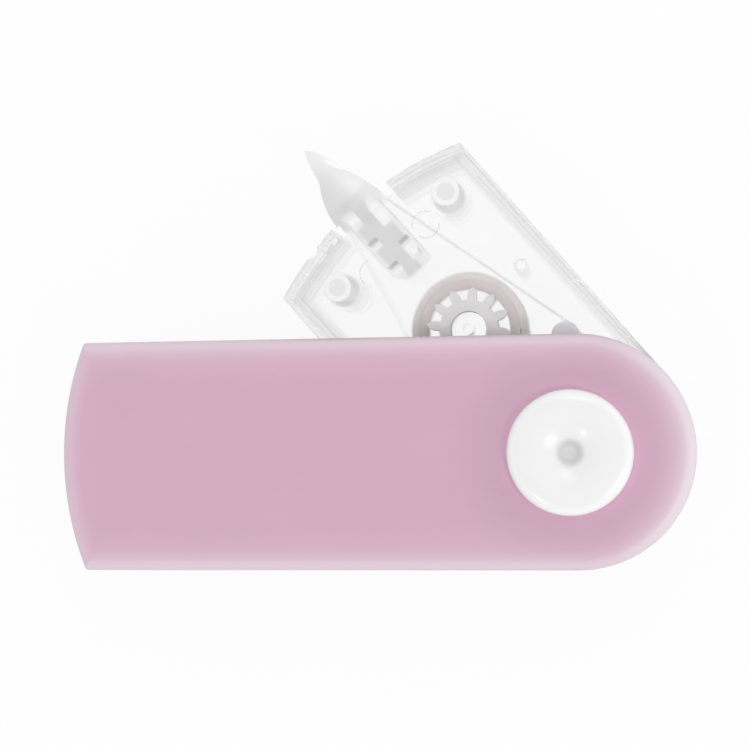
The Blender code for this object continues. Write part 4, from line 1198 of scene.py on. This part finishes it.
def make_take_up_reel():
    gear_white = moulded("take_up_gear_satin_white", (0.82, 0.803, 0.803), 0.38)
    gear = softened(carved(node_copy("take_up_gear"), [hollow_mesh()]), WIDE_ROUND, 3)
    add_piece("take_up_gear_wheel", gear, "take_up_reel", gear_white, "take_up_gear")
    grey = moulded("take_up_core_warm_grey", (0.79, 0.715, 0.72), 0.42)
    add_piece("take_up_spool", spool_mesh(), "take_up_reel", grey, "take_up_core")
    path = winding(TAKE_UP, *WOUND_FILM, FILM_TURNS)
    roll = strip("film_winding", path, WOUND_FILM_THICKNESS, TAPE_LOW, TAPE_HIGH)
    wound = film_finish("film_roll_wound", (0.95, 0.925, 0.92), 1.0, 0.1)
    add_piece("wound_film", roll, "take_up_reel", wound, "used_film_roll")


def make_guide():
    low = TAPE_LOW - GUIDE_PLAY
    high = TAPE_HIGH + GUIDE_PLAY
    half = GUIDE_FLANGE / 2
    flange = GUIDE_RADIUS + GUIDE_FLANGE - half
    top = arc((flange, high + half), half, math.pi / 2, -math.pi / 2, CURVE_STEPS)
    bottom = arc((flange, low - half), half, math.pi / 2, -math.pi / 2, CURVE_STEPS)
    crown = high + GUIDE_FLANGE
    profile = [(0.0, crown + GUIDE_CAP)]
    profile += arc((flange - GUIDE_CAP, crown), GUIDE_CAP, math.pi / 2, 0.0, CURVE_STEPS // 2)
    profile += top + [(GUIDE_RADIUS, high), (GUIDE_RADIUS, low)] + bottom
    profile += [(GUIDE_BORE, low - GUIDE_FLANGE), (GUIDE_BORE, crown + GUIDE_CAP_ROOM)]
    profile.append((0.0, crown + GUIDE_CAP_ROOM))
    grey = moulded("roller_satin_grey", (0.97, 0.93, 0.95), 0.38)
    roller = lathe("guide_mesh", profile, GUIDE, SMALL_STEPS)
    add_piece("tape_guide", roller, "guide", grey, "guide_roller")


# Studio

def make_floor():
    sides = ((-1, -1), (1, -1), (1, 1), (-1, 1))
    corners = [(FLOOR_HALF * x, FLOOR_HALF * y, FLOOR_LEVEL) for x, y in sides]
    mesh = bpy.data.meshes.new("floor")
    mesh.from_pydata(corners, [], [(0, 1, 2, 3)])
    mesh.materials.append(floor_finish())
    floor = linked("floor", mesh)


def floor_finish():
    """Pale paper that keeps a shadow, and is nearly white to the rays that look at it."""
    finish = Finish("floor_pale", (0.9, 0.9, 0.9), 0.9)
    finish.set("Specular IOR Level", 0.0)
    glow = finish.nodes.new("ShaderNodeEmission")
    glow.inputs["Color"].default_value = (1.0, 1.0, 1.0, 1.0)
    mix = finish.nodes.new("ShaderNodeMixShader")
    finish.put(mix, 0, finish.times(seen_directly(finish.nodes, finish.links), FLOOR_GLOW))
    finish.put(mix, 1, finish.shader.outputs[0])
    finish.put(mix, 2, glow.outputs[0])
    finish.put(finish.nodes["Material Output"], 0, mix.outputs[0])
    return finish.surface


def seen_directly(nodes, links):
    """1 for rays that see, reflect or look through, and 0 for rays that gather light."""
    path = nodes.new("ShaderNodeLightPath")
    total = path.outputs["Is Camera Ray"]
    for kind in ("Is Glossy Ray", "Is Transmission Ray"):
        either = nodes.new("ShaderNodeMath")
        either.operation = "MAXIMUM"
        links.new(total, either.inputs[0])
        links.new(path.outputs[kind], either.inputs[1])
        total = either.outputs[0]
    return total


def sky_slope(nodes, links):
    """The light's strength by direction: an even slope, brightest where the key light stands."""
    direction = nodes.new("ShaderNodeTexCoord").outputs["Generated"]
    along = nodes.new("ShaderNodeVectorMath")
    along.operation = "DOT_PRODUCT"
    links.new(direction, along.inputs[0])
    along.inputs[1].default_value = Vector(SKY_TOWARDS).normalized()
    slope = nodes.new("ShaderNodeMapRange")
    slope.inputs["From Min"].default_value = -1.0
    slope.inputs["To Min"].default_value = SKY_RANGE[0]
    slope.inputs["To Max"].default_value = SKY_RANGE[1]
    links.new(along.outputs["Value"], slope.inputs["Value"])
    return slope.outputs[0]


def make_world():
    world = bpy.data.worlds.new("studio")
    bpy.context.scene.world = world
    world.use_nodes = True
    nodes = world.node_tree.nodes
    links = world.node_tree.links
    nodes.clear()
    output = nodes.new("ShaderNodeOutputWorld")
    white = nodes.new("ShaderNodeBackground")
    white.inputs["Color"].default_value = (1.0, 1.0, 1.0, 1.0)
    light = nodes.new("ShaderNodeBackground")
    light.inputs["Color"].default_value = (1.0, 1.0, 1.0, 1.0)
    links.new(sky_slope(nodes, links), light.inputs["Strength"])
    mix = nodes.new("ShaderNodeMixShader")
    links.new(seen_directly(nodes, links), mix.inputs[0])
    links.new(light.outputs[0], mix.inputs[1])
    links.new(white.outputs[0], mix.inputs[2])
    links.new(mix.outputs[0], output.inputs[0])


def make_lamps():
    for name, (place, size, power) in LAMPS.items():
        lamp = bpy.data.lights.new(name, "AREA")
        lamp.size = size
        lamp.energy = power
        holder = linked(name, lamp)
        holder.location = place
        holder.rotation_euler = (-Vector(place)).to_track_quat("-Z", "Y").to_euler()


def make_camera():
    forward = Vector(CAMERA_FORWARD).normalized()
    right = Vector(CAMERA_RIGHT)
    right = (right - forward * right.dot(forward)).normalized()
    up = right.cross(forward)
    turn = Matrix((right, up, -forward)).transposed().to_4x4()
    camera = bpy.data.cameras.new("photo_camera")
    camera.sensor_width = SENSOR_WIDTH
    camera.lens = SENSOR_WIDTH * FOCAL_PIXELS / IMAGE_PIXELS
    camera.clip_start = 1 * MM
    camera.clip_end = 10.0
    holder = linked("photo_camera", camera)
    holder.matrix_world = Matrix.Translation(CAMERA_AT) @ turn
    bpy.context.scene.camera = holder


def set_studio():
    scene = bpy.context.scene
    scene.view_settings.view_transform = "Standard"
    scene.cycles.max_bounces = LIGHT_BOUNCES
    scene.cycles.glossy_bounces = LIGHT_BOUNCES
    scene.cycles.transmission_bounces = LIGHT_BOUNCES
    scene.cycles.transparent_max_bounces = CLEAR_BOUNCES


set_studio()
make_camera()
make_world()
make_lamps()
make_floor()
make_cover()
make_caps()
make_casing()
make_bosses()
make_bumps()
make_post_ring()
make_seams()
make_marks()
make_head()
make_runs()
make_supply_reel()
make_supply_drive()
make_idler()
make_take_up_reel()
make_guide()
